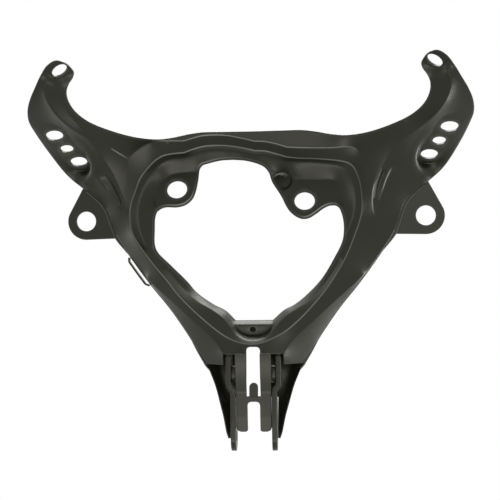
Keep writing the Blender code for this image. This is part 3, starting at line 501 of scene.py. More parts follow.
def settled(ends, pull, mass, right, start, free, rounds=900):
    """Conjugate gradients for (mass + pulls) value = right on the free points."""
    size = len(start)
    i, j = ends[:, 0], ends[:, 1]
    total = mass + np.bincount(i, pull, size) + np.bincount(j, pull, size)
    total = np.maximum(total, 1e-12)

    def times(v):
        """What the mass and the pulls make of the values v."""
        near = np.bincount(i, pull * v[j], size) + np.bincount(j, pull * v[i], size)
        return total * v - near

    value = start.copy()
    rest = np.where(free, right - times(value), 0.0)
    step = rest / total
    way, size_now = step.copy(), np.dot(rest, step)
    goal = size_now * 1e-14 + 1e-30
    for _ in range(rounds):
        if size_now <= goal:
            break
        pushed = np.where(free, times(way), 0.0)
        share = size_now / np.dot(way, pushed)
        value += share * way
        rest -= share * pushed
        step = rest / total
        size_next = np.dot(rest, step)
        way = step + way * (size_next / size_now)
        size_now = size_next
    return value


def eased(points, tris, value, held, reach, passes=3):
    """Heat spread over the sheet for a short time, which rounds every crease by about reach."""
    ends, pull = stiffness(points, tris, np.broadcast_to(reach, len(points)) ** 2 / passes / 2)
    area = areas(points, tris)
    mass = np.bincount(tris.ravel(), np.repeat(area / 3, 3), len(points)) + NO_AREA
    for _ in range(passes):
        value = settled(ends, pull, mass, mass * value, value, ~held, 200)
    return value


def highlight_strength(points, lines):
    """The painted highlight along the pressed crests: each line's own strength times a bell of the
    distance.
    """
    found = np.zeros(len(points))
    for line in lines:
        dense = curve([(x / MM, z / MM, d / MM) for x, z, d in line], 0.25 * MM)
        near = np.flatnonzero(crowded(points, dense, 0.5 * MM, HIGHLIGHT_REACH))
        gap = np.linalg.norm(points[near, None, :2] - dense[None, :, :2], axis=2)
        nearest = gap.argmin(axis=1)
        bell = np.exp(-(gap[np.arange(len(near)), nearest] / HIGHLIGHT_WIDTH) ** 2)
        found[near] = np.maximum(found[near], np.clip(dense[nearest, 2] / MM, 0, 1) * bell)
    return found


def areas(points, tris):
    """Area of each triangle of the blank: half the cross product of two sides."""
    u, v = points[tris[:, 1]] - points[tris[:, 0]], points[tris[:, 2]] - points[tris[:, 0]]
    return np.abs(u[:, 0] * v[:, 1] - u[:, 1] * v[:, 0]) / 2


def steepness(points, tris, value):
    """How much longer the sheet is than its blank: the root of one plus the slope squared."""
    a, b, c = tris.T
    u, v = points[b] - points[a], points[c] - points[a]
    cross = u[:, 0] * v[:, 1] - u[:, 1] * v[:, 0]
    cross = np.where(np.abs(cross) < NO_AREA, NO_AREA, cross)
    du, dv = value[b] - value[a], value[c] - value[a]
    gx = (du * v[:, 1] - dv * u[:, 1]) / cross
    gz = (dv * u[:, 0] - du * v[:, 0]) / cross
    area = np.repeat(areas(points, tris) / 3, 3)
    size = len(points)
    weight = np.bincount(tris.ravel(), area, size) + 1e-16
    mean = [np.bincount(tris.ravel(), np.repeat(g, 3) * area, size) / weight for g in (gx, gz)]
    return np.sqrt(1 + np.minimum(mean[0] ** 2 + mean[1] ** 2, STEEPEST ** 2))


def bend(start, corner, end, share):
    """Quadratic curve from start to end that heads for the corner."""
    return (1 - share) ** 2 * start + 2 * share * (1 - share) * corner + share ** 2 * end


def rim(outer, inner, back, hem, wall):
    """Rows across a sheet's edge, from its face over the rounded edge to its back.

    outer is the edge's line, inner the face's last line and back the depth of the back's last
    line. Where hem is deeper than the sheet, the edge is turned over by that much. The rows
    bend down from the face, run straight to the foot, turn under it and climb behind it.
    """
    way = outer[:, :2] - inner[:, :2]
    reach = np.linalg.norm(way, axis=1)
    way = np.column_stack([way / reach[:, None], np.zeros(len(way))])
    down = np.array((0.0, 0.0, 1.0))
    thick = back - inner[:, 2]
    deep = np.maximum(hem, thick)
    extra = np.maximum(deep - thick, LEAST_TURN)[:, None]
    deep, reach = deep[:, None], reach[:, None]
    top = np.minimum(reach, FACE_BEND * deep)
    low = np.minimum(ROUND_OFF, FOOT_BEND * reach)
    foot = outer + down * deep
    heel = foot - way * np.minimum(wall, FOOT_WIDTH * reach)
    before, after = foot - down * low, foot - way * low
    under, behind = heel + way * low * 0.9, heel - down * np.minimum(low, HEEL_BEND * extra)
    high = heel - down * (extra - np.minimum(HEEL_REACH, HEEL_BEND * extra))
    last = np.column_stack([inner[:, :2], back])
    return [*(bend(inner, outer, outer + down * top, share) for share in (0.25, 0.5, 0.75, 1)),
            before, bend(before, foot, after, 0.5), after,
            under, bend(under, heel, behind, 0.5), behind,
            high, bend(high, heel - down * extra, last, 0.5)]


def face_depth(points, tris, value, held, hard, flats, sharp, mild, reach):
    """Depth of a drawn sheet's face: a skin stretched between the held lines and the flats,
    then eased by reach, and by more near each soft line where there is room for it."""
    for loop, plane in flats:
        within = inside(points, loop)
        value[within] = plane(points[within, 0], points[within, 1])
        held |= within
    ends, pull = stiffness(points, tris)
    zero = np.zeros(len(points))
    value = settled(ends, pull, zero, zero, value, ~held)
    spread = np.full(len(points), reach)
    for line, more in mild:
        near = np.flatnonzero(crowded(points, line, 0.5 * MM, 3 * more))
        apart = distance(points[near], np.vstack(sharp))
        fade = np.clip(3 - distance(points[near], line) / more, 0, 1)
        wide = reach + fade * np.clip(0.45 * apart - 0.4 * reach, 0, more - reach)
        spread[near] = np.maximum(spread[near], wide)
    return eased(points, tris, value, hard, spread)


def back_depth(points, tris, value, wall, reach):
    """Depth of the back: one wall behind the face, square to it, but no farther than a wall
    behind the deepest point near, then eased."""
    deepest = value.copy()
    for _ in range(2):
        for k in range(3):
            np.maximum.at(deepest, tris[:, k], deepest[tris].max(axis=1))
    behind = np.minimum(value + wall * steepness(points, tris, value), deepest + wall)
    return eased(points, tris, behind, np.zeros(len(points), bool), max(reach, 0.4 * wall))


def back_slide(points, flats, wall):
    """How far the back slides along each flat's slope, so that a hole runs square to it."""
    slide = np.zeros((len(points), 3))
    for loop, plane in flats:
        within = np.flatnonzero(inside(points, loop))
        x0, z0 = loop[:, :2].mean(axis=0)
        slope = np.array((plane(x0 + MM, z0) - plane(x0, z0), plane(x0, z0 + MM) - plane(x0, z0)))
        slope = slope / MM
        away = -slope * wall / math.sqrt(1 + slope @ slope)
        full = np.clip(distance(points[within], loop) / (0.6 * MM), 0, 1)[:, None]
        slide[within] = full * np.append(away, away @ slope)
    return slide


def sheet(outline, windows, wall, lines=(), flats=(), shape=None, reach=1.1 * MM,
          pitch=2.4 * MM, step=STEP, edge=HOLE_EDGE, soft=(), turn=0.0, crests=(),
          window_highlight=None, outline_highlight=0.05):
    """A sheet-metal piece: face, back and rounded edges over one flat blank.

    windows are (line, how far its edge is rounded). lines are the sharp creases, soft the
    rounder ones as (line, reach), flats are (closed line, plane). shape(u, v) gives the depth
    outright. edge and turn are the rounding and the depth of the outline's turned edge, as
    numbers or one for each point of the outline. crests are the lines of painted highlight,
    brow is the painted highlight along the outline's edge and lips the same for each point of
    the first window's edge; all of them go into the crest attribute, which the paint lightens.
    Behind a flat the back slides along its slope, so that a hole there runs square to it.
    """
    border = wound(outline, True)
    flip = border[0, 0] != outline[0, 0] or border[1, 0] != outline[1, 0]
    edge = np.broadcast_to(edge, len(border))
    turn = np.broadcast_to(turn, len(border))
    edge, turn = (edge[::-1], turn[::-1]) if flip else (edge, turn)
    loops = [border] + [wound(w, False) for w, _ in windows]
    hems = [turn] + [np.zeros(len(q)) for q in loops[1:]]
    insets = [leftwards(border, edge, True)]
    insets += [leftwards(q, r, True) for q, (_, r) in zip(loops[1:], windows)]

    def clear(line):
        """The runs of the line that lie on the face, off the rounded edges."""
        ok = between(line, insets) & ~crowded(line, np.vstack(insets), 0.2 * MM, 0.5 * step)
        cuts = np.flatnonzero(np.diff(ok.astype(int)) != 0) + 1
        return [part for part, keep in zip(np.split(line, cuts), np.split(ok, cuts))
                if keep[0] and len(part) > 1]

    sharp = [part for line in list(lines) + [joined(q, q[:1]) for q, _ in flats]
             for part in clear(line)]
    mild = [(part, more) for line, more in soft for part in clear(line)]
    creases = sharp + [part for part, _ in mild]
    points, tris, groups = blank(loops, insets, creases, pitch)
    value, held = np.zeros(len(points)), np.zeros(len(points), bool)
    count = len(loops)
    for group, line in zip(groups[:count] + groups[2 * count:], loops + creases):
        value[group], held[group] = line[:, 2], True
    hard = np.zeros(len(points), bool)
    hard[np.concatenate(groups[:count])] = True
    if shape is not None:
        value = shape(points[:, 0], points[:, 1])
    else:
        value = face_depth(points, tris, value, held, hard, flats, sharp + loops, mild, reach)
    behind = back_depth(points, tris, value, wall, reach)
    slide = back_slide(points, flats, wall)

    # The face and the back inside the rounded edges
    skin = tris[between(points[tris].mean(axis=1), insets)]
    used = np.unique(skin)
    number = -np.ones(len(points), int)
    number[used] = np.arange(len(used))
    skin = number[skin]
    face = np.column_stack([points[used], value[used]])
    rear = np.column_stack([points[used], behind[used]]) + slide[used]
    verts = [face, rear]
    # The crest attribute is a painted highlight: lighter paint along the crests and the edges
    crest_highlight = [highlight_strength(points[used], crests), np.zeros(len(used))]
    edge_highlight = [np.full(len(border), outline_highlight)] + [np.full(len(q), WINDOW_EDGE_HIGHLIGHT) for q in loops[1:]]
    if window_highlight is not None:
        edge_highlight[1] = window_highlight
    faces = skin.tolist() + (skin[:, ::-1] + len(used)).tolist()

    # The rows across each rounded edge
    total = 2 * len(used)
    for k in range(count):
        first = number[groups[count + k]]
        outer = np.column_stack([points[groups[k]], value[groups[k]]])
        inner = np.column_stack([points[groups[count + k]], value[groups[count + k]]])
        back = behind[groups[count + k]]
        rows = rim(outer, inner, back, hems[k], wall)
        # The painted highlight of each edge lies on the face's last row and, weaker, on the rim's
        # first row
        crest_highlight[0][first] = np.maximum(crest_highlight[0][first], edge_highlight[k])
        numbers = [first]
        for place, row in enumerate(rows):
            share = np.clip((row[:, 2] - inner[:, 2]) / (back - inner[:, 2]), 0, 1)[:, None]
            verts.append(row + share * slide[groups[count + k]])
            crest_highlight.append((0.0 if place else RIM_HIGHLIGHT) * edge_highlight[k])
            numbers.append(np.arange(total, total + len(row)))
            total += len(row)
        numbers.append(first + len(used))
        grid = np.array(numbers)
        ahead = np.roll(grid, -1, axis=1)
        quads = np.stack([grid[:-1], grid[1:], ahead[1:], ahead[:-1]], axis=-1)
        faces += quads.reshape(-1, 4).tolist()
    return np.vstack(verts), faces, np.concatenate(crest_highlight)


def upright(verts):
    """(u, v, depth) as points of the frame, for a sheet that faces the saddle."""
    return np.column_stack([verts[:, 0], verts[:, 2] - DEPTH_ORIGIN, verts[:, 1]])


def piece(name, verts, faces, nodes, paint, crest_highlight=None):
    """A finished piece: its mesh in place, smooth, painted, riding on the frame."""
    data = bpy.data.meshes.new(name)
    data.from_pydata(verts.tolist(), [], faces)
    data.validate()
    # The painted highlight's strength at each point, which the paint reads
    if crest_highlight is not None:
        data.attributes.new("crest_highlight", "FLOAT", "POINT").data.foreach_set("value", crest_highlight)
    data.shade_smooth()
    data.materials.append(paint)
    thing = bpy.data.objects.new(name, data)
    bpy.context.scene.collection.objects.link(thing)
    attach(thing, "root")
    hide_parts(*nodes)
    return thing


def leg_corner():
    """Where a leg's inner edge meets the top of its clevis cheek, as a key point."""
    cheek = (plate_face(PLATE_TOP) + LEG_WALL + CLEARANCE) / MM
    return cheek, (PLATE_TOP + CLEARANCE) / MM + 0.4, 13


def main_outline():
    """The front pressing's outline with the edge's rounding and turn at each of its points."""
    knee, slot, top = leg_corner(), SLOT_HALF / MM, SLOT_TOP / MM
    cheek, foot, _ = knee
    low = (cheek, LEG_END / MM + 0.4, 18)
    half = joined(
        curve(HORN, STEP), curve([HORN[-1], low], STEP), curve([low, knee], STEP),
        curve([knee, (slot, foot, 10.5)], STEP),
        curve([(slot, foot, 10.5), (slot, top - 3.2, 12.3)], STEP),
        curve([(slot, top - 3.2, 12.3), (slot - 1, top - 1, 12.8), (slot - 3.2, top, 13)],
              0.8 * MM),
        curve([(slot - 3.2, top, 13), (0, top, 13)], STEP))
    outline = joined(half, mirrored(half))
    z = outline[:, 1]
    neck = np.clip((z - NECK_LOW) / (NECK_HIGH - NECK_LOW), 0, 1)
    start = np.clip((z - HEM_END) / (4 * MM), 0, 1)
    turn = start * (HEM + (TIP_HEM - HEM) * neck)
    edge = 0.8 * MM + start * (1.0 * MM - 1.15 * MM * neck)
    return outline, edge, turn


def plate_face(z):
    """Distance of a clevis cheek's outer face from the middle: it steps out by the joggle."""
    rise = np.clip((z - JOGGLE_LOW) / (JOGGLE_HIGH - JOGGLE_LOW), 0, 1)
    ease = rise * rise * (3 - 2 * rise)
    return CLEVIS_GAP / 2 + PLATE + JOGGLE * (0.35 * rise + 0.65 * ease)


def front_pressing(paint, sizes):
    """The deep-drawn sheet with the horns, the ring, the ears and the tops of the legs: the
    depth that a skin takes between the outline, the window, the creases and the flats."""
    outline, edge, turn = main_outline()
    windows = [(chain(WINDOW, STEP), WINDOW_EDGE)]
    lines = [curve(keys, STEP) for keys in [LEG_TURN] + LEFT_CREASES + RIGHT_CREASES]
    second = chain(STEP_TWO, STEP)
    lines += [chain(STEP_ONE, STEP), np.vstack([second, second[:1]])]
    field = curve(FIELD_EDGE + [leg_corner()], STEP)
    pocket = curve(PAD_RIM, STEP)
    lines += [field, mirrored(field)]
    flats, pad = [], joined(curve(PAD_EDGE, STEP))
    for side in (1, -1):
        flats.append((pad if side == 1 else mirrored(pad), pad_depth))
        for k, radius in PAD_HOLES:
            center = (side * (PAD_X - k * PAD_PITCH * math.cos(PAD_LEAN)),
                      PAD_Z - k * PAD_PITCH * math.sin(PAD_LEAN) - PAD_SINK)
            hole = ring(center, radius, pad_depth, STEP, squash=PAD_SQUASH)
            hole[:, 0] += PAD_SKEW[side] * (hole[:, 1] - center[1])
            windows.append((hole, HOLE_EDGE))
        tip = (side * TIP_X, TIP_Z)
        hole = ring(tip, TIP_HOLE_R, tip_depth, STEP, squash=TIP_SQUASH)
        hole[:, 1] -= side * TIP_SKEW * (hole[:, 0] - tip[0])
        hole[:, 2] = tip_depth(hole[:, 0], hole[:, 1])
        windows.append((hole, TIP_EDGE))
        flats.append((ring(tip, TIP_HOLE_R, tip_depth, STEP, grow=1.25), tip_depth))
    for center in (EAR_LEFT, EAR_RIGHT):
        windows.append((ring(center, EAR_HOLE_R, ear_depth, STEP), HOLE_EDGE))
    flats += [(joined(curve(keys, STEP)), ear_depth) for keys in EAR_FLATS]
    latch = curve(LATCH, STEP)
    flats.append((joined(latch, polyline([latch[-1], latch[0]], STEP)), latch_depth))
    windows.append((ring(LATCH_HOLE, LATCH_HOLE_R, latch_depth, 0.9 * MM), LATCH_EDGE))
    for radius, drop in ((LOCATING_R, 0.0), (LOCATING_R - LOCATING_WALL, LOCATING_DEPTH)):
        t = np.radians(np.linspace(-75, 140, 30))
        x = LOCATING_PAD[0] + radius * np.cos(t)
        z = LOCATING_PAD[1] + radius * np.sin(t)
        lines.append(np.column_stack([x, z, ear_depth(x, z) + drop]))
    soft = [(curve(WALL_FOOT, STEP), FOOT_REACH), (pocket, POCKET_REACH),
            (mirrored(pocket), POCKET_REACH)]
    # crests and lips paint highlights along the creases and the window's edge
    verts, faces, crest_highlight = sheet(
        outline, windows, sizes.front_wall, lines, flats, reach=sizes.crease, edge=edge,
        turn=turn, soft=soft, crests=[curve(keys, STEP) for keys in CREST_HIGHLIGHTS],
        window_highlight=chain(WINDOW_HIGHLIGHT_KEYS, STEP)[:, 2] / MM)
    return piece("front_pressing_skin", upright(verts), faces, ["main_pressing"], paint, crest_highlight)


def shell_lip(z):
    """How far the rear shell's edge stands outside the front sheet at a height: in full at
    the lugs and at the foot, and 0.3 of that between."""
    lug = np.maximum(0, 1 - np.abs(z - LUG_HOLE[1]) / (40 * MM))
    foot = np.maximum(0, 1 - (z - LEG_END) / (30 * MM))
    return SHELL_LIP * np.maximum(0.3, np.maximum(np.minimum(1, 1.6 * lug),
                                                  np.minimum(1, foot)))


def rear_shell(paint, sizes):
    """The closing sheet behind both legs: the depth that a skin takes between its outline,
    the front sheet's edge that lies on it and the soft line down the middle of each leg."""
    step = 1.5 * MM
    outline = main_outline()[0]
    outline = outline[(outline[:, 0] > SHELL_START_X) & (outline[:, 1] >= LEG_END)
                      & (outline[:, 1] <= SHELL_TOP)]
    lower = outline + (0, 0, SHELL_BEHIND)
    outer = joined(leftwards(lower, shell_lip(lower[:, 1]), False), curve(SHELL_FOOT, step))
    bed = leftwards(lower, -SHELL_SEAT, False)
    cheek = plate_face(0) + CLEARANCE
    inner = curve(SHELL_INNER, step)
    up = polyline([outer[-1], (cheek, outer[-1][1], 14 * MM), (cheek, WEB_FOOT - 4 * MM, 33 * MM),
                   (cheek, WEB_FOOT, WEB_FOOT_Y), (WEB_EDGE, WEB_FOOT, WEB_FOOT_Y),
                   (WEB_EDGE, WEB_TOP, WEB_TOP_Y), (0, WEB_TOP, WEB_TOP_Y)], step)
    corner = leftwards(outer[:2], -SHELL_END, False)[0]
    half = joined(inner[::-1], polyline([inner[0], corner, outer[0]], step), outer, up)
    whole = joined(half, mirrored(half))
    spine = curve(SHELL_SPINE, step)
    # brow paints a stronger highlight along the shell's outer edge
    verts, faces, crest_highlight = sheet(
        whole, [], sizes.shell_wall, [bed, mirrored(bed)], outline_highlight=0.35, pitch=3 * MM, step=step,
        reach=sizes.crease, soft=[(spine, SPINE_REACH), (mirrored(spine), SPINE_REACH)])
    return piece("rear_shell_skin", upright(verts), faces, ["rear_shell"], paint, crest_highlight)


SIDES = {-1: "left", 1: "right"}


def fairing_lug(side, paint, sizes):
    """A flat three-cornered tab, as deep everywhere, rounded about its large hole."""
    x0, z0 = LUG_HOLE
    t = np.radians(np.linspace(-92, 22, 40))
    corners = [(x * MM, z * MM) for x, z in LUG_CORNERS]
    arc = np.column_stack([x0 + LUG_R * np.cos(t), z0 + LUG_R * np.sin(t), 0 * t])
    points = [(x, z, 0.0) for x, z in corners] + [tuple(arc[0])]
    loop = joined(polyline(points, 1.5 * MM), arc,
                  polyline([tuple(arc[-1]), (*corners[0], 0.0)], 1.5 * MM))
    loop = loop if side > 0 else mirrored(loop)
    hole = ring((side * x0, z0), LUG_HOLE_R, lambda x, z: 0 * x, STEP)
    verts, faces, crest_highlight = sheet(loop, [(hole, LUG_EDGE)], sizes.lug_wall, pitch=3 * MM,
                                shape=lambda u, v: np.full(len(u), LUG_SEAT))
    name = SIDES[side]
    return piece(name + "_lug_skin", upright(verts), faces, [name + "_lug"], paint, crest_highlight)


def clevis_cheek(side, paint):
    """A joggled plate with two bolt holes: its depth follows the joggle up its height."""
    y0, z0 = BOLT_LOW
    t = np.radians(np.linspace(-172, -8, 30))
    arc = np.column_stack([y0 + z0 * np.cos(t), z0 + z0 * np.sin(t), 0 * t])
    rest = [tuple(arc[-1]), *((y * MM, z * MM, 0.0) for y, z in CHEEK_EDGE), tuple(arc[0])]
    loop = joined(arc, polyline(rest, STEP))
    holes = [(ring(c, BOLT_R, lambda x, z: 0 * x, 1.1 * MM), BOLT_EDGE)
             for c in (BOLT_LOW, BOLT_HIGH)]
    verts, faces, crest_highlight = sheet(loop, holes, PLATE, shape=lambda u, v: -plate_face(v),
                                pitch=2 * MM, edge=0.9 * MM)
    verts = np.column_stack([-side * verts[:, 2], verts[:, 0] - DEPTH_ORIGIN, verts[:, 1]])
    if side < 0:
        faces = [f[::-1] for f in faces]
    name = SIDES[side]
    return piece(name + "_cheek_skin", verts, faces, [name + "_clevis_plate"], paint, crest_highlight)


def strip_depth(x, z):
    """Depth of the centre bracket: a quarter sine bow above the bar, straight below it, set
    forwards in a line near its foot, with the tongue leaning a little."""
    bow = (z - (BAR_HIGH + 4 * MM)) / (STRIP_TOP - BAR_HIGH - 4 * MM)
    depth = STRIP_DEPTH - STRIP_BOW * np.sin(math.pi / 2 * np.clip(bow, 0, 1))
    depth += 0.12 * np.maximum(0, STRIP_FOOT + 13 * MM - z)
    tongue = STRIP_DEPTH + 0.25 * np.maximum(0, z - BAR_HIGH)
    return np.where(np.abs(x) < TONGUE_HALF + 0.1 * MM, tongue, depth)


def centre_bracket(paint, sizes):
    """The H-shaped stamping between the cheeks: its flat outline bent to strip_depth."""
    half, top, foot = CLEVIS_GAP / 2 - CLEARANCE, STRIP_TOP, STRIP_FOOT
    slot, low = SLOT_HALF, SLOT_HALF - 0.6 * MM
    t = np.radians(np.linspace(90, 0, 10))
    tongue = [(TONGUE_HALF * c, TONGUE_TOP - TONGUE_HALF + TONGUE_HALF * s)
              for c, s in zip(np.cos(t), np.sin(t))]
    side = tongue + [
        (TONGUE_HALF, BAR_HIGH), (slot, BAR_HIGH), (slot, top), (half, top),
        (half, foot + 4 * MM), (half - 1.2 * MM, foot + 1.2 * MM), (half - 4 * MM, foot),
        (low + 1.5 * MM, foot), (low, foot + 1.5 * MM), (low, BAR_LOW - 3 * MM),
        (low - 0.9 * MM, BAR_LOW - 0.9 * MM), (low - 3 * MM, BAR_LOW)]
    path = [(x, z, 0.0) for x, z in side]
    path += [(-x, z, d) for x, z, d in path[::-1][:-1]]
    loop = polyline(path + path[:1], MM)
    verts, faces, crest_highlight = sheet(loop, [], sizes.strip_wall, shape=strip_depth,
                                pitch=1.6 * MM, step=MM, edge=0.6 * MM, reach=0.8 * MM)
    return piece("centre_bracket_skin", upright(verts), faces, ["centre_bracket"], paint, crest_highlight)


def closed_sweep(rings, capped):
    """Faces between neighbouring closed rings of points, with both ends filled or joined."""
    count, size = len(rings), len(rings[0])
    n = np.arange(count * size).reshape(count, size)
    near, far = (n[:-1], n[1:]) if capped else (n, np.roll(n, -1, axis=0))
    quads = np.stack([near, np.roll(near, -1, axis=1), np.roll(far, -1, axis=1), far], -1)
    faces = quads.reshape(-1, 4).tolist()
    if capped:
        faces += [n[0][::-1].tolist(), n[-1].tolist()]
    return np.vstack(rings), faces


def rounded(width, height, radius, steps=4):
    """A rectangle's outline with quarter-circle corners, anticlockwise about its centre."""
    t = np.radians(np.linspace(0, 90, steps + 1))
    arc = np.column_stack([np.cos(t), np.sin(t)]) * radius
    turns = [np.array(((1, 0), (0, 1))), np.array(((0, -1), (1, 0))),
             np.array(((-1, 0), (0, -1))), np.array(((0, 1), (-1, 0)))]
    signs = ((1, 1), (-1, 1), (-1, -1), (1, -1))
    return np.vstack([arc @ turn.T + (s * (width / 2 - radius), r * (height / 2 - radius))
                      for turn, (s, r) in zip(turns, signs)])


def collar(side, paint):
    """A short tube: a rounded rectangle turned about the bolt's axis."""
    y0, z0 = BOLT_HIGH
    inner = CLEVIS_GAP / 2 - CLEARANCE
    outer = float(plate_face(z0)) - PLATE - CLEARANCE
    profile = rounded(outer - inner, COLLAR_R - BOLT_R, 0.5 * MM)
    x = side * ((inner + outer) / 2) + profile[:, 0]
    r = (COLLAR_R + BOLT_R) / 2 + profile[:, 1]
    rings = [np.column_stack([x, y0 - DEPTH_ORIGIN + r * math.cos(a), z0 + r * math.sin(a)])
             for a in np.linspace(0, 2 * math.pi, 72, endpoint=False)]
    verts, faces = closed_sweep(rings, False)
    name = SIDES[side]
    return piece(name + "_collar_skin", verts, faces, [name + "_collar"], paint)


def harness_guide(paint):
    """The bent strap on the left leg: a rounded strip carried along the leg's edge."""
    line = main_outline()[0]
    line = line[(line[:, 0] < 0) & (line[:, 1] >= GUIDE_LOW) & (line[:, 1] <= GUIDE_HIGH)]
    z = line[:, 1]
    foot = float(shell_lip(np.array(GUIDE_LOW))) + CLEARANCE
    near = np.clip(np.minimum(z - z.min(), z.max() - z) / GUIDE_RAMP, 0, 1)
    ease = near * near * (3 - 2 * near)
    stand = foot + (GUIDE_STAND - foot) * ease + GUIDE_WALL / 2
    path = leftwards(line, stand, False)
    way = np.gradient(path[:, :2], axis=0)
    way /= np.linalg.norm(way, axis=1)[:, None]
    out = np.column_stack([-way[:, 1], way[:, 0]])
    profile = rounded(GUIDE_WIDTH, GUIDE_WALL, 0.6 * MM)
    depth = path[:, 2] + GUIDE_NEAR + GUIDE_WIDTH / 2 - DEPTH_ORIGIN
    rings = [np.column_stack([np.full(len(profile), p[0]) + profile[:, 1] * o[0],
                              d + profile[:, 0],
                              np.full(len(profile), p[1]) + profile[:, 1] * o[1]])
             for p, o, d in zip(path, out, depth)]
    verts, faces = closed_sweep(rings, True)
    return piece("harness_guide_skin", verts, faces, ["harness_guide"], paint)


# Paint

CLOUD_SCALE, PEEL_SCALE, GRAIN_SCALE = 16.0, 520.0, 2600.0
GLOSS_SPREAD = 0.03
SHEEN_LEVEL, SHEEN_TINT = 0.3, (1.0, 0.99, 0.86, 1)


def node(tree, kind, at, **inputs):
    """A shader node with its sockets set or linked by name."""
    made = tree.nodes.new(kind)
    made.location = at
    for name, value in inputs.items():
        socket = made.inputs[name.replace("_", " ")]
        if isinstance(value, bpy.types.NodeSocket):
            tree.links.new(value, socket)
        else:
            socket.default_value = value
    return made


def black_paint(look):
    """Satin black paint over steel: slow changes of tone, a fine orange peel, a finer grain
    and a painted highlight along the crests and edges, where the crest attribute lightens it."""
    paint = bpy.data.materials.get("black_paint_satin")
    if paint:
        return paint
    paint = bpy.data.materials.new("black_paint_satin")
    paint.use_nodes = True
    tree = paint.node_tree
    tree.nodes.clear()
    where = node(tree, "ShaderNodeTexCoord", (-1100, 0)).outputs["Object"]
    slow = node(tree, "ShaderNodeTexNoise", (-900, 250), Vector=where, Scale=CLOUD_SCALE,
                Detail=3.0)
    peel = node(tree, "ShaderNodeTexNoise", (-900, -250), Vector=where, Scale=PEEL_SCALE,
                Detail=1.5)
    grain = node(tree, "ShaderNodeTexNoise", (-900, -500), Vector=where, Scale=GRAIN_SCALE,
                 Detail=2.0)
    tone = node(tree, "ShaderNodeMix", (-600, 250))
    tone.data_type = "RGBA"
    tree.links.new(slow.outputs["Fac"], tone.inputs[0])
    tone.inputs[6].default_value = (*look.dark, 1)
    tone.inputs[7].default_value = (*look.light, 1)
    # Painted highlight: the crest attribute mixes the paint towards the highlight tone
    crest_highlight = node(tree, "ShaderNodeAttribute", (-900, 500))
    crest_highlight.attribute_name = "crest_highlight"
    edge = node(tree, "ShaderNodeMix", (-350, 250))
    edge.data_type = "RGBA"
    tree.links.new(crest_highlight.outputs["Fac"], edge.inputs[0])
    tree.links.new(tone.outputs[2], edge.inputs[6])
    edge.inputs[7].default_value = (*look.highlight_tone, 1)
    gloss = node(tree, "ShaderNodeMapRange", (-600, 0), Value=slow.outputs["Fac"])
    gloss.inputs["From Min"].default_value, gloss.inputs["From Max"].default_value = 0.3, 0.7
    gloss.inputs["To Min"].default_value = look.roughness - GLOSS_SPREAD
    gloss.inputs["To Max"].default_value = look.roughness + GLOSS_SPREAD
    fine = node(tree, "ShaderNodeBump", (-600, -500), Height=grain.outputs["Fac"],
                Strength=1.0, Distance=look.grain)
    waves = node(tree, "ShaderNodeBump", (-350, -300), Height=peel.outputs["Fac"],
                 Strength=1.0, Distance=look.peel, Normal=fine.outputs["Normal"])
    shader = node(tree, "ShaderNodeBsdfPrincipled", (0, 0), IOR=1.5)
    shader.inputs["Specular IOR Level"].default_value = SHEEN_LEVEL
    shader.inputs["Specular Tint"].default_value = SHEEN_TINT
    tree.links.new(edge.outputs[2], shader.inputs["Base Color"])
    tree.links.new(gloss.outputs["Result"], shader.inputs["Roughness"])
    tree.links.new(waves.outputs["Normal"], shader.inputs["Normal"])
    node(tree, "ShaderNodeOutputMaterial", (300, 0), Surface=shader.outputs["BSDF"])
    return paint


# Studio

# (name, place, size, radiance) of each lamp; all of them look at LAMP_AIM
LAMPS = (
    ("top_box", (0.1, 0.72, 1.2), (0.9, 0.6), 7.0),
    ("right_box", (0.83, 0.3, 0.0), (0.45, 0.5), 7.5),
    ("left_box", (-0.93, 0.37, 0.2), (0.4, 0.6), 3.0),
    ("front_box", (0.03, -0.97, -0.33), (0.9, 0.4), 4.2),
    ("camera_box", (0.24, -1.1, 0.5), (0.7, 0.35), 3.0),
)
LAMP_AIM = (0.0, 0.0, 0.18)
CAMERA_TURN, CAMERA_ROLL = math.radians(3.6), math.radians(0.92)
CAMERA_PLACE = (56.05 * MM, -911.1 * MM, 184 * MM)
FLOOR_HALF, FLOOR_TONE = 4.0, 0.86
# The floor is plain out to the first distance from the middle and all white from the second on
FLOOR_FADE = (0.9, 2.2)


def seen_white(tree):
    """1 for the rays that show the background: the camera's, and those that a glossy or a
    clear surface sends on."""
    path = node(tree, "ShaderNodeLightPath", (-900, 300))
    most = path.outputs["Is Camera Ray"]
    for place, kind in enumerate(("Is Glossy Ray", "Is Transmission Ray")):
        pick = node(tree, "ShaderNodeMath", (-700 + 200 * place, 300))
        pick.operation = "MAXIMUM"
        tree.links.new(most, pick.inputs[0])
        tree.links.new(path.outputs[kind], pick.inputs[1])
        most = pick.outputs[0]
    return most


def surround(studio):
    """White wherever it is seen or mirrored, and a dimmer level for the light it throws."""
    world = bpy.data.worlds.new("white_sweep")
    world.use_nodes = True
    tree = world.node_tree
    tree.nodes.clear()
    pick = node(tree, "ShaderNodeMix", (-250, 100))
    tree.links.new(seen_white(tree), pick.inputs[0])
    pick.inputs[2].default_value, pick.inputs[3].default_value = studio.room, 1.0
    light = node(tree, "ShaderNodeBackground", (0, 0), Color=(1, 1, 1, 1),
                 Strength=pick.outputs[0])
    node(tree, "ShaderNodeOutputWorld", (250, 0), Surface=light.outputs["Background"])
    bpy.context.scene.world = world


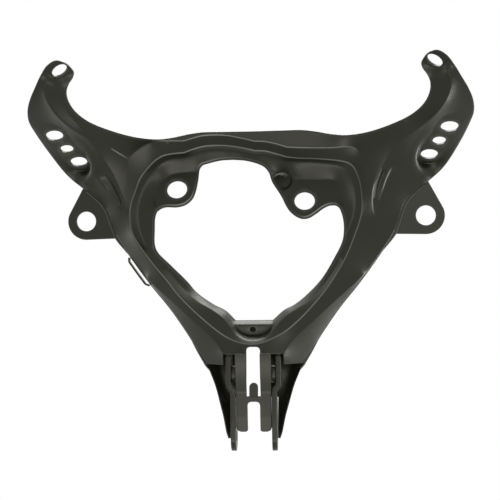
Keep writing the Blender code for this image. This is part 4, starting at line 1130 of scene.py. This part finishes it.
def floor(studio):
    """A wide pale floor that keeps a soft shadow and runs into the white around it."""
    half, z = FLOOR_HALF, CAD_BOX[0][2] - studio.drop
    data = bpy.data.meshes.new("floor")
    data.from_pydata([(-half, -half, z), (half, -half, z), (half, half, z), (-half, half, z)],
                     [], [(0, 1, 2, 3)])
    pale = bpy.data.materials.new("pale_floor")
    pale.use_nodes = True
    tree = pale.node_tree
    tree.nodes.clear()
    where = node(tree, "ShaderNodeTexCoord", (-900, 0)).outputs["Object"]
    away = node(tree, "ShaderNodeVectorMath", (-700, 0))
    away.operation = "LENGTH"
    tree.links.new(where, away.inputs[0])
    fade = node(tree, "ShaderNodeMapRange", (-500, 0), Value=away.outputs["Value"])
    fade.interpolation_type = "SMOOTHSTEP"
    fade.inputs["From Min"].default_value, fade.inputs["From Max"].default_value = FLOOR_FADE
    fade.inputs["To Min"].default_value = studio.blend
    share = node(tree, "ShaderNodeMath", (-300, 300))
    share.operation = "MULTIPLY"
    tree.links.new(seen_white(tree), share.inputs[0])
    tree.links.new(fade.outputs["Result"], share.inputs[1])
    tone = (FLOOR_TONE, FLOOR_TONE, FLOOR_TONE, 1)
    matt = node(tree, "ShaderNodeBsdfDiffuse", (-300, 0), Color=tone)
    white = node(tree, "ShaderNodeEmission", (-300, -150), Color=(1, 1, 1, 1), Strength=1.0)
    both = node(tree, "ShaderNodeMixShader", (0, 0))
    tree.links.new(share.outputs[0], both.inputs[0])
    tree.links.new(matt.outputs[0], both.inputs[1])
    tree.links.new(white.outputs[0], both.inputs[2])
    node(tree, "ShaderNodeOutputMaterial", (250, 0), Surface=both.outputs[0])
    data.materials.append(pale)
    thing = bpy.data.objects.new("floor", data)
    bpy.context.scene.collection.objects.link(thing)


def softbox(name, at, size, level):
    """A rectangular lamp whose face has the given radiance: power = pi * area * radiance."""
    lamp = bpy.data.lights.new(name, "AREA")
    lamp.shape = "RECTANGLE"
    lamp.size, lamp.size_y = size
    lamp.energy = math.pi * size[0] * size[1] * level
    thing = bpy.data.objects.new(name, lamp)
    thing.location = at
    thing.rotation_euler = (Vector(LAMP_AIM) - Vector(at)).to_track_quat("-Z", "Y").to_euler()
    thing.visible_camera = False
    bpy.context.scene.collection.objects.link(thing)


def photo_camera(studio):
    """The camera level with the object's middle, a little to the right, turned slightly left."""
    turn, roll = CAMERA_TURN, CAMERA_ROLL
    ahead = Vector((-math.sin(turn), math.cos(turn), 0))
    right = Vector((math.cos(roll) * math.cos(turn), math.cos(roll) * math.sin(turn),
                    -math.sin(roll)))
    up = right.cross(ahead)
    lens = bpy.data.cameras.new("photo_camera")
    lens.lens, lens.sensor_width, lens.clip_start = studio.lens, 36.0, 0.01
    view = Matrix((right, up, -ahead)).transposed().to_4x4()
    view.translation = CAMERA_PLACE
    thing = bpy.data.objects.new("photo_camera", lens)
    thing.matrix_world = view
    bpy.context.scene.collection.objects.link(thing)
    bpy.context.scene.camera = thing


# The add-on's own settings, operators and panel

class StayPaint(bpy.types.PropertyGroup):
    """Colours and finish of the paint"""
    dark: bpy.props.FloatVectorProperty(
        name="Dark tone", description="Colour of the paint where it lies thickest",
        subtype="COLOR", default=(0.0085, 0.0085, 0.0055), min=0, max=1)
    light: bpy.props.FloatVectorProperty(
        name="Light tone", description="Colour of the paint where it lies thinnest",
        subtype="COLOR", default=(0.0125, 0.0125, 0.0085), min=0, max=1)
    # Colour of the painted highlight along the crests and the edges
    highlight_tone: bpy.props.FloatVectorProperty(
        name="Crest tone", description="Colour of the paint on the pressed crests",
        subtype="COLOR", default=(0.30, 0.30, 0.27), min=0, max=1)
    roughness: bpy.props.FloatProperty(
        name="Roughness", description="Mean roughness of the paint", default=0.36,
        min=0.05, max=1, subtype="FACTOR")
    peel: bpy.props.FloatProperty(
        name="Orange peel", description="Height of the paint's waves", default=0.02 * MM,
        min=0, max=MM, subtype="DISTANCE", unit="LENGTH", precision=5)
    grain: bpy.props.FloatProperty(
        name="Grain", description="Height of the paint's fine grain", default=0.002 * MM,
        min=0, max=MM, subtype="DISTANCE", unit="LENGTH", precision=6)


class StaySheet(bpy.types.PropertyGroup):
    """Sizes of the pressed sheets"""
    front_wall: bpy.props.FloatProperty(
        name="Front wall", description="Thickness of the front pressing", default=2.2 * MM,
        min=0.5 * MM, max=4 * MM, subtype="DISTANCE", unit="LENGTH", precision=4)
    shell_wall: bpy.props.FloatProperty(
        name="Shell wall", description="Thickness of the rear shell", default=1.8 * MM,
        min=0.5 * MM, max=4 * MM, subtype="DISTANCE", unit="LENGTH", precision=4)
    lug_wall: bpy.props.FloatProperty(
        name="Lug wall", description="Thickness of the fairing lugs", default=2.6 * MM,
        min=0.5 * MM, max=4 * MM, subtype="DISTANCE", unit="LENGTH", precision=4)
    strip_wall: bpy.props.FloatProperty(
        name="Bracket wall", description="Thickness of the centre bracket", default=2.2 * MM,
        min=0.5 * MM, max=4 * MM, subtype="DISTANCE", unit="LENGTH", precision=4)
    crease: bpy.props.FloatProperty(
        name="Crease", description="How far a crease is rounded", default=0.5 * MM,
        min=0.2 * MM, max=5 * MM, subtype="DISTANCE", unit="LENGTH", precision=4)


class StayStudio(bpy.types.PropertyGroup):
    """Floor, light and camera"""
    drop: bpy.props.FloatProperty(
        name="Floor drop", description="How far the floor lies below the object",
        default=0.60, min=0, max=1, subtype="DISTANCE", unit="LENGTH")
    blend: bpy.props.FloatProperty(
        name="Floor blend", description="How white the floor already is below the object",
        default=0.5, min=0, max=1, subtype="FACTOR")
    room: bpy.props.FloatProperty(
        name="Room", description="Brightness of the light that the surround throws",
        default=0.5, min=0, max=2)
    lens: bpy.props.FloatProperty(
        name="Lens", description="Focal length of the camera", default=72.0, min=10, max=300,
        subtype="DISTANCE_CAMERA", unit="CAMERA")


def ready(context):
    """The paint and the sheets' sizes, as the settings have them."""
    return black_paint(context.scene.stay_paint), context.scene.stay_sheet


class STAY_OT_front_pressing(bpy.types.Operator):
    """Make the deep-drawn front sheet"""
    bl_idname = "stay.front_pressing"
    bl_label = "Front pressing"
    bl_options = {"REGISTER", "UNDO"}

    def execute(self, context):
        """Makes its pieces, or raises the error that stopped them."""
        front_pressing(*ready(context))
        return {"FINISHED"}


class STAY_OT_rear_shell(bpy.types.Operator):
    """Make the sheet that closes the legs"""
    bl_idname = "stay.rear_shell"
    bl_label = "Rear shell"
    bl_options = {"REGISTER", "UNDO"}

    def execute(self, context):
        """Makes its pieces, or raises the error that stopped them."""
        rear_shell(*ready(context))
        return {"FINISHED"}


class STAY_OT_fairing_lugs(bpy.types.Operator):
    """Make the two tabs with the grommet holes"""
    bl_idname = "stay.fairing_lugs"
    bl_label = "Fairing lugs"
    bl_options = {"REGISTER", "UNDO"}

    def execute(self, context):
        """Makes its pieces, or raises the error that stopped them."""
        for side in SIDES:
            fairing_lug(side, *ready(context))
        return {"FINISHED"}


class STAY_OT_clevis_cheeks(bpy.types.Operator):
    """Make the two bolt plates"""
    bl_idname = "stay.clevis_cheeks"
    bl_label = "Clevis cheeks"
    bl_options = {"REGISTER", "UNDO"}

    def execute(self, context):
        """Makes its pieces, or raises the error that stopped them."""
        for side in SIDES:
            clevis_cheek(side, ready(context)[0])
        return {"FINISHED"}


class STAY_OT_centre_bracket(bpy.types.Operator):
    """Make the stamping between the cheeks"""
    bl_idname = "stay.centre_bracket"
    bl_label = "Centre bracket"
    bl_options = {"REGISTER", "UNDO"}

    def execute(self, context):
        """Makes its pieces, or raises the error that stopped them."""
        centre_bracket(*ready(context))
        return {"FINISHED"}


class STAY_OT_collars(bpy.types.Operator):
    """Make the two spacers on the upper bolt"""
    bl_idname = "stay.collars"
    bl_label = "Collars"
    bl_options = {"REGISTER", "UNDO"}

    def execute(self, context):
        """Makes its pieces, or raises the error that stopped them."""
        for side in SIDES:
            collar(side, ready(context)[0])
        return {"FINISHED"}


class STAY_OT_harness_guide(bpy.types.Operator):
    """Make the strap on the left leg"""
    bl_idname = "stay.harness_guide"
    bl_label = "Harness guide"
    bl_options = {"REGISTER", "UNDO"}

    def execute(self, context):
        """Makes its pieces, or raises the error that stopped them."""
        harness_guide(ready(context)[0])
        return {"FINISHED"}


class STAY_OT_studio(bpy.types.Operator):
    """Make the floor, the light and the camera"""
    bl_idname = "stay.studio"
    bl_label = "Studio"
    bl_options = {"REGISTER", "UNDO"}

    def execute(self, context):
        """Sets the stage, or raises the error that stopped it."""
        studio = context.scene.stay_studio
        context.scene.view_settings.view_transform = "Standard"
        surround(studio)
        floor(studio)
        for lamp in LAMPS:
            softbox(*lamp)
        photo_camera(studio)
        return {"FINISHED"}


class STAY_PT_panel(bpy.types.Panel):
    """Settings and steps in the 3D view's sidebar"""
    bl_idname = "STAY_PT_panel"
    bl_label = "Fairing stay"
    bl_space_type = "VIEW_3D"
    bl_region_type = "UI"
    bl_category = "Fairing stay"

    def draw(self, context):
        """Lists each group's settings, then the operators in their order."""
        for group in (context.scene.stay_sheet, context.scene.stay_paint,
                      context.scene.stay_studio):
            box = self.layout.box()
            for name in group.__annotations__:
                box.prop(group, name)
        for step in OPERATORS:
            self.layout.operator(step.bl_idname)


GROUPS = {"stay_paint": StayPaint, "stay_sheet": StaySheet, "stay_studio": StayStudio}
OPERATORS = (STAY_OT_front_pressing, STAY_OT_rear_shell, STAY_OT_fairing_lugs,
             STAY_OT_clevis_cheeks, STAY_OT_centre_bracket, STAY_OT_collars,
             STAY_OT_harness_guide, STAY_OT_studio)


def register():
    """Makes the settings, the operators and the panel known to Blender."""
    for name, group in GROUPS.items():
        bpy.utils.register_class(group)
        setattr(bpy.types.Scene, name, bpy.props.PointerProperty(type=group))
    for kind in (*OPERATORS, STAY_PT_panel):
        bpy.utils.register_class(kind)


def unregister():
    """Takes them out again, last first."""
    for kind in reversed((*OPERATORS, STAY_PT_panel)):
        bpy.utils.unregister_class(kind)
    for name, group in reversed(GROUPS.items()):
        delattr(bpy.types.Scene, name)
        bpy.utils.unregister_class(group)


def main():
    """Builds everything in order."""
    register()
    for step in OPERATORS:
        family, name = step.bl_idname.split(".")
        getattr(getattr(bpy.ops, family), name)()


if __name__ == "__main__":
    main()
